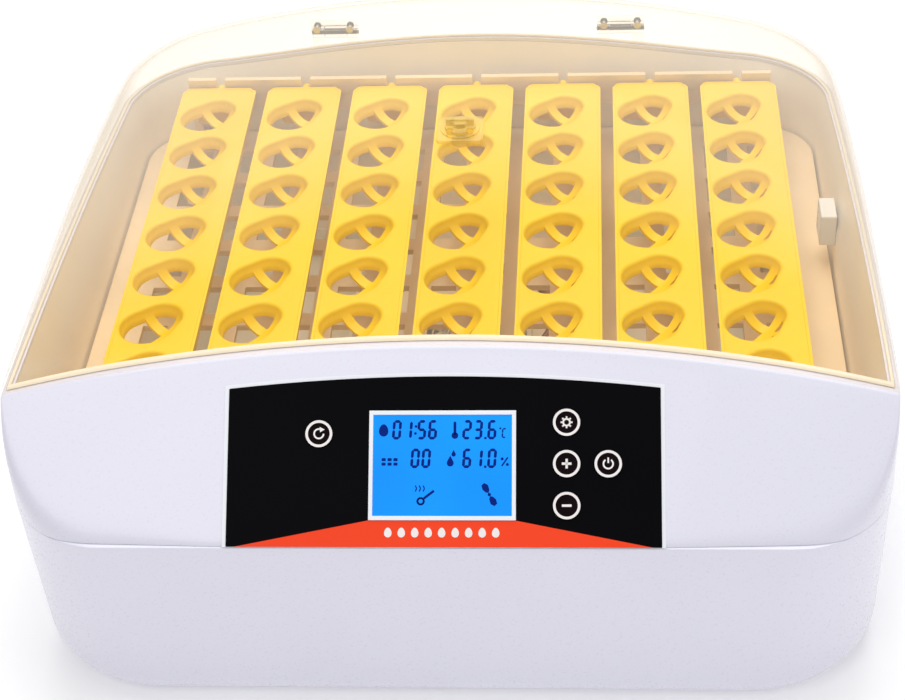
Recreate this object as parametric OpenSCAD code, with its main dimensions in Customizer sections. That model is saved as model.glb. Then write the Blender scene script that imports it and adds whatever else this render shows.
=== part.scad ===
// Egg incubator: white tub with a sloping control facet, a hinged clear lid,
// seven rocking egg trays, a fan and a ring heater under a floor grid.
// Origin: middle of the footprint, on the surface it stands on. +Z up, front at -Y.

/* [Housing] */
// Width of the housing
body_w = 492; // [480:1:500]
// Depth of the housing, front face to rear wall
body_d = 470; // [464:1:480]
// Wall thickness of the housing
wall = 3; // [2.5:0.1:3.5]
// Corner radius of the housing at its seam
corner_r = 56; // [50:1:60]
// Corner radius of the housing at its foot
foot_corner_r = 76; // [70:1:90]
// Height of the control facet's lower edge and of the seam
facet_z = 122; // [120:1:124]
// Slope of the control facet above the horizontal
facet_slope = 42.4; // [41:0.1:44]
// Height of the rim at the front corners
rim_front = 177; // [175:1:179]
// Height of the rim at the rear corners
rim_rear = 145; // [143:1:149]
// Rise of the rim from its corners to the middle, at the front
arch_front = 18.5; // [17:0.5:20]
// Rise of the rim from its corners to the middle, at the rear
arch_rear = 22; // [20:0.5:24]

/* [Lid] */
// Height of the lid's crown
crown_z = 209; // [207:1:212]
// How far the lid falls from its middle to its sides, at the rear
lid_arch = 41; // [38:1:42]
// Wall thickness of the lid
lid_wall = 2.5; // [2:0.1:3]
// Place of the crown and the vent, front to rear
crown_y = 34; // [25:1:45]

/* [Egg trays] */
// Number of trays side by side
tray_count = 7; // [7:1:7]
// Number of cups in a tray
cup_count = 7; // [5:1:7]
// Distance between tray axes
tray_pitch = 60; // [59:0.5:61]
// Distance between cups along a tray
cup_pitch = 47; // [44:0.5:47]
// Width of a tray
tray_w = 51.6; // [50:0.2:51.6]
// Depth of a tray
tray_depth = 28; // [24:1:28]
// Height of the trays' top face
tray_z = 141; // [140:0.5:142]
// Place of the trays' rear end
tray_rear = 203; // [202:0.5:203.5]

/* [Control panel] */
// Width of the panel overlay
panel_w = 233; // [228:1:236]
// Height of the panel overlay up the slope, at its middle
panel_h = 92; // [90:1:93]
// Outer size of the display frame
display_size = [79, 59]; // [60:1:80]
// Diameter of a button
button_d = 14.8; // [13:0.1:14.8]

/* [Hidden] */
$fn = 48;
eps = 0.01;

// housing
hinge_out = 7.5;             // hinge axis behind the rear wall
barrel_r = 4.5;
front_y = -(body_d + hinge_out + barrel_r) / 2;
rear_y = front_y + body_d;
half_w = body_w / 2;
foot_h = 3;                 // rubber feet
tub_floor = 8;              // top of the tub's floor
side_bow = 0.02;            // sides draw in towards the ends
seam_gap = 0.3;
arc_steps = 8;              // steps in each corner of an outline
span_x = 11;                // points along the front and the rear
span_y = 9;                 // points along each side
rim_front_y = -181;         // the rim slopes between these two places
rim_rear_y = 190;
flat_y = -156;              // in front of this the lid falls no further
flange_t = 2.5;
flange_w = 5.8;               // width of the rim, which carries the gasket

// liner
liner_w = 236;              // half width, outside
liner_t = 2.5;
liner_front = -156.5;
liner_rear = 215.5;
liner_front_r = 24;
liner_rear_r = 42;
liner_z = 26;
liner_taper = 24;           // the liner draws in towards its floor
taper_top = 94;
upright_top = 126;          // from here the liner leans out to the rim
liner_floor = liner_z + liner_t;

// trays and their drive
pivot_z = tray_z - 4;
tray_front = tray_rear - 10 - cup_pitch * cup_count - 7;
tray_skin = 1.8;
stub_r = 3;
drive_pin_r = 2.5;
drive_arm = 18;             // drive pin below the pivot
rail_t = 4;
rail_gap = 2;
front_reach = (tray_count - 1) / 2 * tray_pitch + 32.5;
rear_reach = front_reach - 9.5;
rail_foot = 3;
bar_bottom = 109;
bar_top = 126.5;
slot_w = 6.6;
gear_module = 1.25;
gear_teeth = 16;
gear_r = gear_module * gear_teeth / 2;
shaft_r = 2.5;
rack_line = bar_bottom - 1.25 * gear_module;
pinion_z = rack_line - gear_r - 0.12;
grid_z = 100;               // top of the floor grid
grid_t = 4;

// fan and heater
fan_at = [0, 20];
fan_z = 42;
fan_size = 80;
fan_h = 20;

// control panel, in the facet's own frame: x across, y up the slope, z outward
overlay_t = 1;
panel_low = 0.4;            // lower edge of the overlay above the facet's edge
band_reach = 112;
lcd_size = [74.6, 54.4];
display_mid = [-0.3, 44.2];
button_places = [[-67, 61.2], [66.2, 67.2], [66.2, 45], [66.2, 22.6], [88.3, 44.9]];
button_hole = button_d + 0.6;
board_depth = 12;           // rear face of the control board below the facet
board_t = 1.6;

// lid and hinges
lid_gap = 0.4;
hinge_x = 100;
hinge_y = rear_y + hinge_out;
hinge_z = 166;
pin_r = 2;
leaf_t = 2.2;

white = [0.91, 0.90, 0.95];
cream = [0.98, 0.93, 0.85];
yellow = [0.95, 0.80, 0.05];
grey = [0.62, 0.60, 0.60];
steel = [0.75, 0.75, 0.77];
dark = [0.06, 0.06, 0.07];
green = [0.10, 0.35, 0.18];
clear = [0.90, 0.86, 0.78, 0.45];

// ---------- small helpers ----------
function lerp(a, b, t) = a + (b - a) * t;
function part_of(v, a, b) = min(1, max(0, (v - a) / (b - a)));

// ---------- plan outline: a rounded rectangle walked counter-clockwise ----------
// A spot is [corner, angle on its arc, share of the way to the next corner].
SPOTS = [for (c = [0:3]) each concat(
    [for (k = [0:arc_steps]) [c, 90 * c - 90 + 90 * k / arc_steps, 0]],
    [for (k = [1:(c % 2 == 0 ? span_y : span_x)])
        [c, 90 * c, k / ((c % 2 == 0 ? span_y : span_x) + 1)]])];
spots = len(SPOTS);

function corner_point(c, a, w, front, rear, r) =
    [(c == 0 || c == 1 ? 1 : -1) * (w - r) + r * cos(a),
     (c == 0 || c == 3 ? front + r : rear - r) + r * sin(a)];
// front_r and rear_r are the corner radii at the two ends
function spot_point(q, w, front, rear, front_r, rear_r) =
    let (here = q[0] == 0 || q[0] == 3 ? front_r : rear_r,
         next = q[0] == 2 || q[0] == 3 ? front_r : rear_r)
    q[2] == 0
    ? corner_point(q[0], q[1], w, front, rear, here)
    : lerp(corner_point(q[0], q[1], w, front, rear, here),
           corner_point((q[0] + 1) % 4, q[1], w, front, rear, next), q[2]);
// the housing's outline, drawn in by `inset`
function housing_point(q, inset, r) =
    let (p = spot_point(q, half_w - inset, front_y + inset, rear_y - inset, r - inset, r - inset))
    [p.x * (1 - side_bow * pow(p.y / front_y, 2)), p.y];
// the liner's outline; `draw` brings its sides and its rear in
function liner_point(q, inset, draw) =
    spot_point(q, liner_w - inset - draw, liner_front + inset, liner_rear - inset - draw,
               liner_front_r - inset, liner_rear_r - inset + draw / 3);

// ---------- surfaces ----------
function facet_y(z) = front_y + (z - facet_z) / tan(facet_slope);
function rim_z(x, y) =
    let (u = part_of(y, rim_front_y, rim_rear_y),
         q = max(0, 1 - pow(x / half_w, 2)))
    lerp(rim_front, rim_rear, u) + lerp(arch_front, arch_rear, u) * pow(q, 1 + u);
function lid_z(x, y) =
    let (back = max(y, flat_y) - crown_y,
         fall = back < 0 ? 9 * pow(back / 190, 2) : 5 * pow(back / 195, 2))
    crown_z - fall - lerp(arch_front, lid_arch, part_of(y, flat_y, rear_y)) * pow(x / half_w, 2);
// the rim's height above an outline spot
function spot_rim(q) = let (w = housing_point(q, 0, corner_r)) rim_z(w.x, w.y);
function shoulder_r(y) = 4 + 8 * part_of(y, -156, -76) + 3 * part_of(y, 140, 200);
facet_run = 1 / sin(facet_slope);   // distance in Y for each unit below the facet

// a point of the housing wall at height z, cut off by the facet plane
function wall_point(q, inset, z) =
    let (p = housing_point(q, inset, corner_r))
    [p.x, max(p.y, facet_y(z) + inset * facet_run), z];
// share t of the way from the seam up to the rim
function riser(q, inset, t, drop) =
    wall_point(q, inset, lerp(facet_z, spot_rim(q) - drop, t));

// ---------- solids from rings of points ----------
function band_faces(n, first, second) =
    [for (i = [0:n - 1]) let (j = (i + 1) % n)
        each [[first + i, second + i, second + j], [first + i, second + j, first + j]]];
module ring_solid(rings) {
    n = len(rings[0]);
    m = len(rings);
    polyhedron(
        points = [for (r = rings) each r],
        faces = [for (j = [0:m - 1]) each band_faces(n, j * n, ((j + 1) % m) * n)],
        convexity = 6);
}
// rings from one middle point to another: a closed shell with no opening
module capped_solid(rings, start, finish) {
    n = len(rings[0]);
    m = len(rings);
    polyhedron(
        points = concat([for (r = rings) each r], [start, finish]),
        faces = concat(
            [for (j = [0:m - 2]) each band_faces(n, j * n, (j + 1) * n)],
            [for (i = [0:n - 1]) [n * m, i, (i + 1) % n]],
            [for (i = [0:n - 1]) [n * m + 1, (m - 1) * n + (i + 1) % n, (m - 1) * n + i]]),
        convexity = 6);
}

module on_facet() {
    translate([0, front_y, facet_z]) rotate([facet_slope, 0, 0]) children();
}
module round_plate(size, r, h) {
    linear_extrude(h) rounded_square(size, r);
}
module rounded_square(size, r) {
    square([size.x - 2 * r, size.y], center = true);
    square([size.x, size.y - 2 * r], center = true);
    for (x = [-1, 1], y = [-1, 1])
        translate([x * (size.x / 2 - r), y * (size.y / 2 - r)]) circle(r);
}
// a piece drawn on the right, mirrored to the left where side is -1
module on_side(side) {
    mirror([side < 0 ? 1 : 0, 0, 0]) children();
}
module screw(d, head_d, head_h, length) {
    // head below z = 0, shank above it
    translate([0, 0, -head_h]) cylinder(d = head_d, h = head_h);
    cylinder(d = d, h = length);
}

// ---------- housing ----------
foot_places = [for (x = [-150, 150], y = [-170, 160]) [x, y]];
screw_places = [for (x = [-180, 180], y = [-130, 165]) [x, y]];
inlet_at = [140, 44];
inlet_body = [27, 20];

function tub_ring(z, inset) =
    [for (q = SPOTS) let (p = housing_point(q, inset,
        lerp(foot_corner_r, corner_r, (z - foot_h) / (facet_z - foot_h)))) [p.x, p.y, z]];
module lower_housing() color(white) {
    // [height, how far the foot draws in]
    heights = [[foot_h, 16], [foot_h + 2.2, 9], [foot_h + 8, 2.9], [foot_h + 18, 0],
               [50, 0], [86, 0], [facet_z - seam_gap, 0]];
    outer = [for (h = heights) tub_ring(h[0], h[1])];
    inner = concat([for (k = [len(heights) - 1:-1:3]) tub_ring(heights[k][0], heights[k][1] + wall)],
                   [tub_ring(tub_floor, heights[2][1] + 2 * wall)]);
    difference() {
        union() {
            capped_solid(concat(outer, inner), [0, 0, foot_h], [0, 0, tub_floor]);
            for (p = screw_places) translate([p.x, p.y, foot_h + 1]) cylinder(d = 12, h = liner_z - foot_h - 1);
        }
        for (p = screw_places) translate([p.x, p.y, -1]) cylinder(d = 4.2, h = liner_z + 2);
        translate([inlet_at.x, rear_y - wall, inlet_at.y])
            cube([inlet_body.x + 0.4, 4 * wall, inlet_body.y + 0.4], center = true);
    }
}

module upper_housing() color(white) {
    shares = [0, 0.1, 0.22, 0.36, 0.5, 0.64, 0.8, 0.92, 1];
    outer = concat([[for (q = SPOTS) wall_point(q, 0, facet_z)]],
                   [for (k = [1:len(shares) - 1]) [for (q = SPOTS) riser(q, 0, shares[k], 0)]]);
    flange = [for (drop = [0, flange_t]) [for (q = SPOTS) wall_point(q, flange_w, spot_rim(q) - drop)]];
    inner = [for (k = [len(shares) - 1:-1:0]) [for (q = SPOTS) riser(q, wall, shares[k], flange_t)]];
    difference() {
        union() {
            ring_solid(concat(outer, flange, inner));
            on_facet() for (x = [-98, 98], y = [14, 72])
                translate([x, y, -board_depth + board_t]) cylinder(d = 7, h = board_depth - board_t - 1);
        }
        on_facet() {
            translate([display_mid.x, display_mid.y, 0])
                cube([lcd_size.x + 1, lcd_size.y + 1, 4 * wall], center = true);
            for (p = button_places) translate([p.x, p.y, -2 * wall]) cylinder(d = button_hole, h = 4 * wall);
            for (x = [-98, 98], y = [14, 72])
                translate([x, y, -board_depth - 1]) cylinder(d = 2.5, h = board_depth - 1);
        }
        for (s = [-1, 1], x = [-9, 9])
            translate([s * hinge_x + x, rear_y - 2 * wall, hinge_z - 26]) rotate([-90, 0, 0]) cylinder(d = 3, h = 3 * wall);
    }
}

function liner_ring(inset, z) =
    let (draw = lerp(liner_taper, 0, part_of(z, liner_z, taper_top)))
    [for (q = SPOTS) let (p = liner_point(q, inset, draw)) [p.x, p.y, z]];
function liner_top(inset) =
    [for (q = SPOTS) wall_point(q, flange_w - liner_t + inset, spot_rim(q) - flange_t - 0.3)];
module inner_liner() color(cream) {
    difference() {
        union() {
            capped_solid([liner_ring(4, liner_z), liner_ring(0, liner_z + 4), liner_ring(0, taper_top),
                          liner_ring(0, upright_top), liner_top(0), liner_top(liner_t),
                          liner_ring(liner_t, upright_top), liner_ring(liner_t, taper_top),
                          liner_ring(liner_t, liner_floor + 4), liner_ring(liner_t + 4, liner_floor)],
                         [0, 0, liner_z], [0, 0, liner_floor]);
            for (p = screw_places) translate([p.x, p.y, liner_z]) cylinder(d = 10, h = 14);
            for (x = [-1, 1], y = [-1, 1])
                translate([fan_at.x + x * 36, fan_at.y + y * 36, liner_z + 1]) cylinder(d = 8, h = fan_z - liner_z - 1);
        }
        for (p = screw_places) translate([p.x, p.y, liner_z - 1]) cylinder(d = 3.6, h = 12);
        for (x = [-1, 1], y = [-1, 1])
            translate([fan_at.x + x * 36, fan_at.y + y * 36, liner_floor + 2]) cylinder(d = 3.2, h = fan_z);
        translate([0, liner_front - 1, pinion_z]) rotate([-90, 0, 0]) cylinder(d = 12, h = 6);
        for (x = [-30, 30]) translate([x, liner_front - 1, pinion_z]) rotate([-90, 0, 0]) cylinder(d = 3.2, h = 6);
    }
}

module rubber_feet() color(dark)
    for (p = foot_places) translate([p.x, p.y, 0]) difference() {
        union() {
            cylinder(d1 = 20, d2 = 22, h = 1);
            translate([0, 0, 1]) cylinder(d = 22, h = foot_h - 1);
        }
        translate([0, 0, -1]) cylinder(d = 6, h = 2.2);
    }

module bottom_screws() color(steel)
    for (p = screw_places) translate([p.x, p.y, foot_h]) screw(3.6, 7.6, 1.8, liner_z - foot_h + 10);

// ---------- chamber ----------
module floor_grid() color(grey) {
    grid_front = liner_front + liner_t + 2;
    grid_rear = liner_rear - liner_t - 2;
    across = 2 * (liner_w - liner_t) - 4;
    along = grid_rear - grid_front;
    columns = 14;
    rows = 8;
    translate([0, (grid_front + grid_rear) / 2, grid_z - grid_t]) linear_extrude(grid_t) difference() {
        hull() for (x = [-1, 1]) {
            translate([x * (across / 2 - liner_front_r + 4), liner_front_r - 4 - along / 2]) circle(liner_front_r - 4);
            translate([x * (across / 2 - liner_rear_r + 4), along / 2 - liner_rear_r + 4]) circle(liner_rear_r - 4);
        }
        for (i = [0:columns - 1], j = [0:rows - 1])
            translate([(i - (columns - 1) / 2) * 30, (j - (rows - 1) / 2) * (along - 40) / rows])
                square([16, 28], center = true);
        // room for the pinion
        translate([-20, -along / 2 - 1]) square([40, 13]);
        for (p = rail_screw_places) translate([p.x, p.y - (grid_front + grid_rear) / 2]) circle(d = 2.6);
    }
    for (x = [-192, 192], y = [-70, 130])
        translate([x, y, liner_floor]) cylinder(d = 12, h = grid_z - grid_t - liner_floor + eps);
}

module water_trough(side) color(white)
    translate([side * 130, 30, liner_floor]) difference() {
        round_plate([104, 250], 12, 26);
        translate([0, 0, 2]) round_plate([100, 246], 10, 26);
    }

module rail(y, reach, low) {
    // a beam with an open seat for each tray, carried on two legs
    difference() {
        union() {
            translate([-reach, y, low]) cube([2 * reach, rail_t, pivot_z + 9 - low]);
            for (s = [-1, 1]) on_side(s) {
                translate([reach - 6.5, y, grid_z]) cube([6.5, rail_t, low - grid_z + eps]);
                translate([reach - 18, y - 1, grid_z]) cube([18, rail_t + 2, rail_foot]);
            }
            children();
        }
        for (i = [0:tray_count - 1]) translate([(i - (tray_count - 1) / 2) * tray_pitch, y - 1, pivot_z]) {
            rotate([-90, 0, 0]) cylinder(r = stub_r + 0.08, h = rail_t + 2);
            translate([-stub_r - 0.08, 0, 0]) cube([2 * stub_r + 0.16, rail_t + 2, 20]);
        }
        for (p = rail_screw_places) translate([p.x, p.y, grid_z - 1]) cylinder(d = 2.6, h = 6);
    }
}
front_rail_y = tray_front - rail_gap - rail_t;
rear_rail_y = tray_rear + rail_gap;
rail_screw_places = [for (s = [-1, 1]) each [[s * (front_reach - 12), front_rail_y + rail_t / 2],
                                             [s * (rear_reach - 12), rear_rail_y + rail_t / 2]]];
// the front rail also carries the ends of the drive bar
module front_rail() color(white) rail(front_rail_y, front_reach, bar_top + 2)
    for (s = [-1, 1]) on_side(s) translate([front_reach - 40, front_rail_y, grid_z]) {
        cube([18, rail_t, bar_bottom - grid_z - 0.05]);
        cube([39, rail_t, rail_foot]);
    }
module rear_rail() color(white) rail(rear_rail_y, rear_reach, pivot_z - 14);
module rail_screws() color(steel)
    for (p = rail_screw_places) translate([p.x, p.y, grid_z + rail_foot]) {
        cylinder(d = 5, h = 1.6);
        translate([0, 0, -6]) cylinder(d = 2.6, h = 6 + eps);
    }

// ---------- egg trays ----------
cup_big = 16;
cup_small = 12.5;
cup_lean = 52;              // direction from the blunt end to the pointed end
cup_reach = 12;
// two circles and their common tangents: an egg lying on a slant
module egg_outline(grow) {
    big = cup_big + grow;
    small = cup_small + grow;
    swing = acos((big - small) / cup_reach);
    rotate(cup_lean) translate([-cup_reach / 2, 0]) {
        circle(big);
        translate([cup_reach, 0]) circle(small);
        polygon([for (s = [-1, 1]) each (s < 0
            ? [[big * cos(swing), -big * sin(swing)], [cup_reach + small * cos(swing), -small * sin(swing)]]
            : [[cup_reach + small * cos(swing), small * sin(swing)], [big * cos(swing), big * sin(swing)]])]);
    }
}
// the cup's floor leaves a slanted rib between a large and a small opening
module cup_floor() {
    difference() {
        egg_outline(tray_skin - eps);
        intersection() {
            egg_outline(-3.5);
            rotate(cup_lean) translate([-31, -20]) square([30, 40]);
        }
        intersection() {
            egg_outline(-3.5);
            rotate(cup_lean) translate([4, -2]) square([20, 30]);
        }
        rotate(cup_lean) translate([4, -9]) square([9, 3.4]);
    }
}
module egg_tray(number) color(yellow) {
    cup_drop = 12;
    half = tray_w / 2;
    foot = 17;
    length = tray_rear - tray_front;
    translate([(number - 1 - (tray_count - 1) / 2) * tray_pitch, 0, 0]) {
        translate([0, tray_rear - 10 - cup_pitch * cup_count / 2, 0]) {
            translate([0, (10 - 7) / 2, tray_z - tray_skin]) linear_extrude(tray_skin) difference() {
                square([tray_w, length], center = true);
                translate([0, -1.5]) cup_row() egg_outline(0);
            }
            translate([0, 0, tray_z - cup_drop]) linear_extrude(cup_drop - tray_skin + eps) difference() {
                cup_row() egg_outline(tray_skin);
                cup_row() egg_outline(0);
            }
            translate([0, 0, tray_z - cup_drop - tray_skin]) linear_extrude(tray_skin + eps) cup_row() cup_floor();
        }
        // long skirts that lean in towards the foot
        translate([0, tray_rear, 0]) rotate([90, 0, 0]) linear_extrude(length) for (s = [-1, 1])
            polygon([[s * half, tray_z - eps], [s * (half - tray_skin), tray_z - eps],
                     [s * (half - tray_skin - 2), tray_z - 11], [s * (half - 2), tray_z - 11]]);
        // end plates with the pivot stubs
        for (end = [0, 1]) translate([0, end == 0 ? tray_front + 2.5 : tray_rear, 0]) rotate([90, 0, 0])
            linear_extrude(2.5) polygon([[-half, tray_z - eps], [half, tray_z - eps], [half - 2, tray_z - 11],
                                         [foot, tray_z - tray_depth], [-foot, tray_z - tray_depth],
                                         [2 - half, tray_z - 11]]);
        translate([0, tray_rear - eps, pivot_z]) rotate([-90, 0, 0]) cylinder(r = stub_r, h = 7.5);
        translate([0, tray_front + eps, pivot_z]) rotate([90, 0, 0]) cylinder(r = stub_r, h = 7.5);
        translate([0, tray_front + eps, pivot_z - drive_arm]) rotate([90, 0, 0]) cylinder(r = drive_pin_r, h = 7.5);
    }
}
module cup_row()
    for (j = [0:cup_count - 1])
        translate([-2.4, (j - (cup_count - 1) / 2) * cup_pitch]) children();

// ---------- turning drive ----------
function involute(r, t) = [r * (cos(t) + t * PI / 180 * sin(t)), r * (sin(t) - t * PI / 180 * cos(t))];
module drive_bar() color(white) {
    reach = (tray_count - 1) / 2 * tray_pitch + 11;
    pitch = PI * gear_module;
    teeth = 15;
    lean = gear_module * tan(20);
    translate([0, front_rail_y + rail_t, 0]) rotate([90, 0, 0]) linear_extrude(rail_t) {
        difference() {
            translate([-reach, bar_bottom]) square([2 * reach, bar_top - bar_bottom]);
            for (i = [0:tray_count - 1])
                translate([(i - (tray_count - 1) / 2) * tray_pitch - slot_w / 2, pivot_z - drive_arm - 3])
                    square([slot_w, 20]);
        }
        // straight rack teeth under the bar, thinned for running clearance
        for (k = [0:teeth - 1]) translate([(k - (teeth - 1) / 2) * pitch, rack_line])
            polygon([[-pitch / 4 + 0.12 - 1.25 * lean, 1.25 * gear_module + eps],
                     [-pitch / 4 + 0.12 + lean, -gear_module], [pitch / 4 - 0.12 - lean, -gear_module],
                     [pitch / 4 - 0.12 + 1.25 * lean, 1.25 * gear_module + eps]]);
    }
}
module drive_pinion() color([0.85, 0.85, 0.82]) {
    base_r = gear_r * cos(20);
    tip_r = gear_r + gear_module;
    root_r = gear_r - 1.25 * gear_module;
    tip_t = sqrt(pow(tip_r / base_r, 2) - 1) * 180 / PI;
    at_pitch = tan(20) * 180 / PI - 20;     // polar angle of the flank on the pitch circle
    half_tooth = 90 / gear_teeth + at_pitch - 0.7;
    flank = [for (k = [0:4]) involute(base_r, tip_t * k / 4)];
    side = [for (p = flank) [p.x * cos(half_tooth) + p.y * sin(half_tooth),
                             p.y * cos(half_tooth) - p.x * sin(half_tooth)]];
    translate([0, front_rail_y - 1.5, pinion_z]) rotate([-90, 0, 0]) {
        linear_extrude(7) {
            circle(root_r);
            // one gap faces up, where a rack tooth stands at rest
            for (k = [0:gear_teeth - 1]) rotate(-90 + 360 / gear_teeth * (k + 0.5))
                polygon(concat([[root_r - 1, -1.1]], side,
                               [for (i = [len(side) - 1:-1:0]) [side[i].x, -side[i].y]],
                               [[root_r - 1, 1.1]]));
        }
        translate([0, 0, -10]) cylinder(r = shaft_r, h = 18.5);
    }
}
module turning_motor() color(steel) {
    translate([0, liner_front, pinion_z]) rotate([90, 0, 0]) difference() {
        motor_body();
        translate([0, 0, -3]) cylinder(r = shaft_r + 0.05, h = 12);
    }
}
module motor_body() {
    union() {
        cylinder(d = 50, h = 20);
        translate([0, 0, 20 - eps]) cylinder(d = 30, h = 6);
        for (x = [-30, 30]) difference() {
            union() {
                translate([x, 0, 0]) cylinder(d = 9, h = 2);
                translate([min(x, x - sign(x) * 10), -4.5, 0]) cube([10, 9, 2]);
            }
            translate([x, 0, -1]) cylinder(d = 3.2, h = 4);
        }
        translate([0, 0, -2]) cylinder(d = 10, h = 2 + eps);
    }
}
module motor_screws() color(steel)
    for (x = [-30, 30]) translate([x, liner_front - 2, pinion_z]) rotate([-90, 0, 0]) screw(3.2, 6, 2, 5.5);

// ---------- air and heat ----------
module fan_frame() color(dark) translate([fan_at.x, fan_at.y, fan_z]) {
    difference() {
        round_plate([fan_size, fan_size], 5, fan_h);
        translate([0, 0, -1]) cylinder(d = 75, h = fan_h + 2);
        for (x = [-1, 1], y = [-1, 1]) translate([x * 36, y * 36, -1]) cylinder(d = 3.6, h = fan_h + 2);
    }
    difference() {
        union() {
            cylinder(d = 26, h = 3);
            for (a = [0, 120, 240]) rotate(a) translate([0, -2, 0]) cube([38, 4, 3]);
            cylinder(d = 7, h = 6);
        }
        translate([0, 0, 1]) cylinder(d = 3.1, h = 10);
    }
}
module fan_impeller() color(dark) translate([fan_at.x, fan_at.y, fan_z]) {
    difference() {
        translate([0, 0, 4]) cylinder(d = 28, h = 14);
        translate([0, 0, 3]) cylinder(d = 24, h = 12);
    }
    translate([0, 0, 1.5]) cylinder(d = 3, h = 14);
    for (a = [0:7]) rotate(45 * a) translate([13, 0, 11]) rotate([38, 0, 0]) translate([0, -8, -0.8])
        cube([21.5, 16, 1.6]);
}
module fan_guard() color(steel) translate([fan_at.x, fan_at.y, fan_z + fan_h + 1]) {
    for (r = [14, 24, 34]) rotate_extrude() translate([r, 0]) circle(1, $fn = 16);
    for (a = [45, 135]) rotate(a) translate([-48, -1, -1]) cube([96, 2, 2]);
    for (x = [-36, 36], y = [-36, 36]) translate([x, y, -1]) difference() {
        cylinder(d = 8, h = 2);
        translate([0, 0, -1]) cylinder(d = 3.4, h = 4);
    }
}
module fan_screws() color(steel)
    for (x = [-1, 1], y = [-1, 1]) translate([fan_at.x + x * 36, fan_at.y + y * 36, 0]) {
        translate([0, 0, fan_z + fan_h + 2]) cylinder(d = 6, h = 2);
        translate([0, 0, liner_floor + 2]) cylinder(d = 3.2, h = fan_z + fan_h - liner_floor + eps);
    }
heater_r = 56;
heater_z = 78;
module heater_ring() color([0.55, 0.35, 0.25])
    translate([fan_at.x, fan_at.y, heater_z]) rotate_extrude() translate([heater_r, 0]) circle(3.5);
module heater_brackets() color(cream)
    for (a = [0, 90, 180, 270]) translate([fan_at.x, fan_at.y, 0]) rotate(a) translate([heater_r, 0, liner_floor])
        difference() {
            translate([-5, -4, 0]) cube([10, 8, heater_z - liner_floor]);
            translate([-heater_r, 0, heater_z - liner_floor]) rotate_extrude() translate([heater_r, 0]) circle(3.55);
        }
module sensor_pod() color(dark) {
    face = liner_w - liner_t;
    translate([face - 10, 42, 116]) difference() {
        cube([10, 22, 22]);
        for (k = [0:3]) translate([-1, 4, 3 + 4.8 * k]) cube([7, 14, 2]);
    }
}

// ---------- control panel ----------
module panel_shape() {
    sag = 6.5;
    arc_r = (pow(panel_w / 2, 2) + sag * sag) / (2 * sag);
    intersection() {
        translate([-panel_w / 2, panel_low]) square([panel_w, panel_h]);
        translate([0, panel_h + panel_low - arc_r]) circle(arc_r, $fn = 360);
    }
}
module panel_overlay() color(dark) on_facet() linear_extrude(overlay_t) difference() {
    panel_shape();
    translate(display_mid) square([lcd_size.x + 0.4, lcd_size.y + 0.4], center = true);
    for (p = button_places) translate(p) circle(d = button_hole);
}
module accent_band() color([0.95, 0.33, 0.17]) on_facet() translate([0, 0, overlay_t]) linear_extrude(0.3)
    polygon([[-band_reach, panel_low], [band_reach, panel_low],
             [display_mid.x + display_size.x / 2, display_mid.y - display_size.y / 2 - 0.1],
             [display_mid.x - display_size.x / 2, display_mid.y - display_size.y / 2 - 0.1]]);
module display_bezel() color(white) on_facet() translate([display_mid.x, display_mid.y, overlay_t])
    linear_extrude(0.8) difference() {
        square(display_size, center = true);
        square(lcd_size, center = true);
    }
module display_lcd() color([0.12, 0.63, 1]) on_facet()
    translate([display_mid.x, display_mid.y, -2.5]) linear_extrude(2.5 + overlay_t + 0.3)
        square([lcd_size.x - 0.1, lcd_size.y - 0.1], center = true);
module display_module() color(grey) on_facet()
    translate([display_mid.x, display_mid.y, -board_depth + board_t]) linear_extrude(board_depth - board_t - 2.5)
        square([lcd_size.x, lcd_size.y], center = true);
module control_board() color(green) on_facet() {
    translate([-105, 8, -board_depth]) difference() {
        cube([210, 70, board_t]);
        for (x = [-98, 98], y = [14, 72]) translate([x + 105, y - 8, -1]) cylinder(d = 2.8, h = 5);
    }
    for (p = button_places) translate([p.x, p.y, -board_depth + board_t - eps]) {
        translate([-3, -3, 0]) cube([6, 6, 3]);
        cylinder(d = 3.4, h = 3.4);
    }
    translate([-60, 20, -board_depth - 3]) cube([14, 14, 3 + eps]);
    translate([-30, 30, -board_depth - 5]) cube([10, 24, 5 + eps]);
    translate([30, 24, -board_depth - 6]) cylinder(d = 8, h = 6 + eps);
}
module board_screws() color(steel) on_facet()
    for (x = [-98, 98], y = [14, 72]) translate([x, y, -board_depth]) screw(2.5, 5, 1.6, 8);
module button(number) color(dark) on_facet() translate([button_places[number].x, button_places[number].y, 0]) {
    translate([0, 0, -wall - 0.2]) cylinder(d = button_d, h = wall + 0.2 + overlay_t + 0.9);
    translate([0, 0, -wall - 1.2]) cylinder(d = button_d + 3, h = 1 + eps);
    translate([0, 0, -wall - 3]) cylinder(d = 4, h = 2);
}

// ---------- power ----------
module power_board() color(green) translate([-150, -215, tub_floor + 4]) {
    cube([110, 46, 1.6]);
    for (x = [6, 104], y = [6, 40]) translate([x, y, -4]) cylinder(d = 7, h = 4 + eps);
    color(yellow) translate([40, 8, 1.6 - eps]) cube([30, 28, 24]);
    color(dark) translate([16, 22, 1.6 - eps]) cylinder(d = 18, h = 26);
    color(grey) translate([82, 10, 1.6 - eps]) cube([3, 26, 28]);
}
module power_inlet() color(dark) translate([inlet_at.x, rear_y, inlet_at.y]) rotate([-90, 0, 0]) difference() {
    union() {
        linear_extrude(2) rounded_square([40, 26], 4);
        translate([0, 0, -16]) linear_extrude(16 + eps) square(inlet_body, center = true);
    }
    translate([0, 0, -12]) linear_extrude(20) difference() {
        union() {
            for (x = [-4.4, 4.4]) translate([x, 0]) circle(d = 9.4);
            square([8.8, 7.2], center = true);
        }
        for (x = [-4.3, 4.3]) translate([x, 0]) circle(d = 2.4);
    }
}

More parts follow.
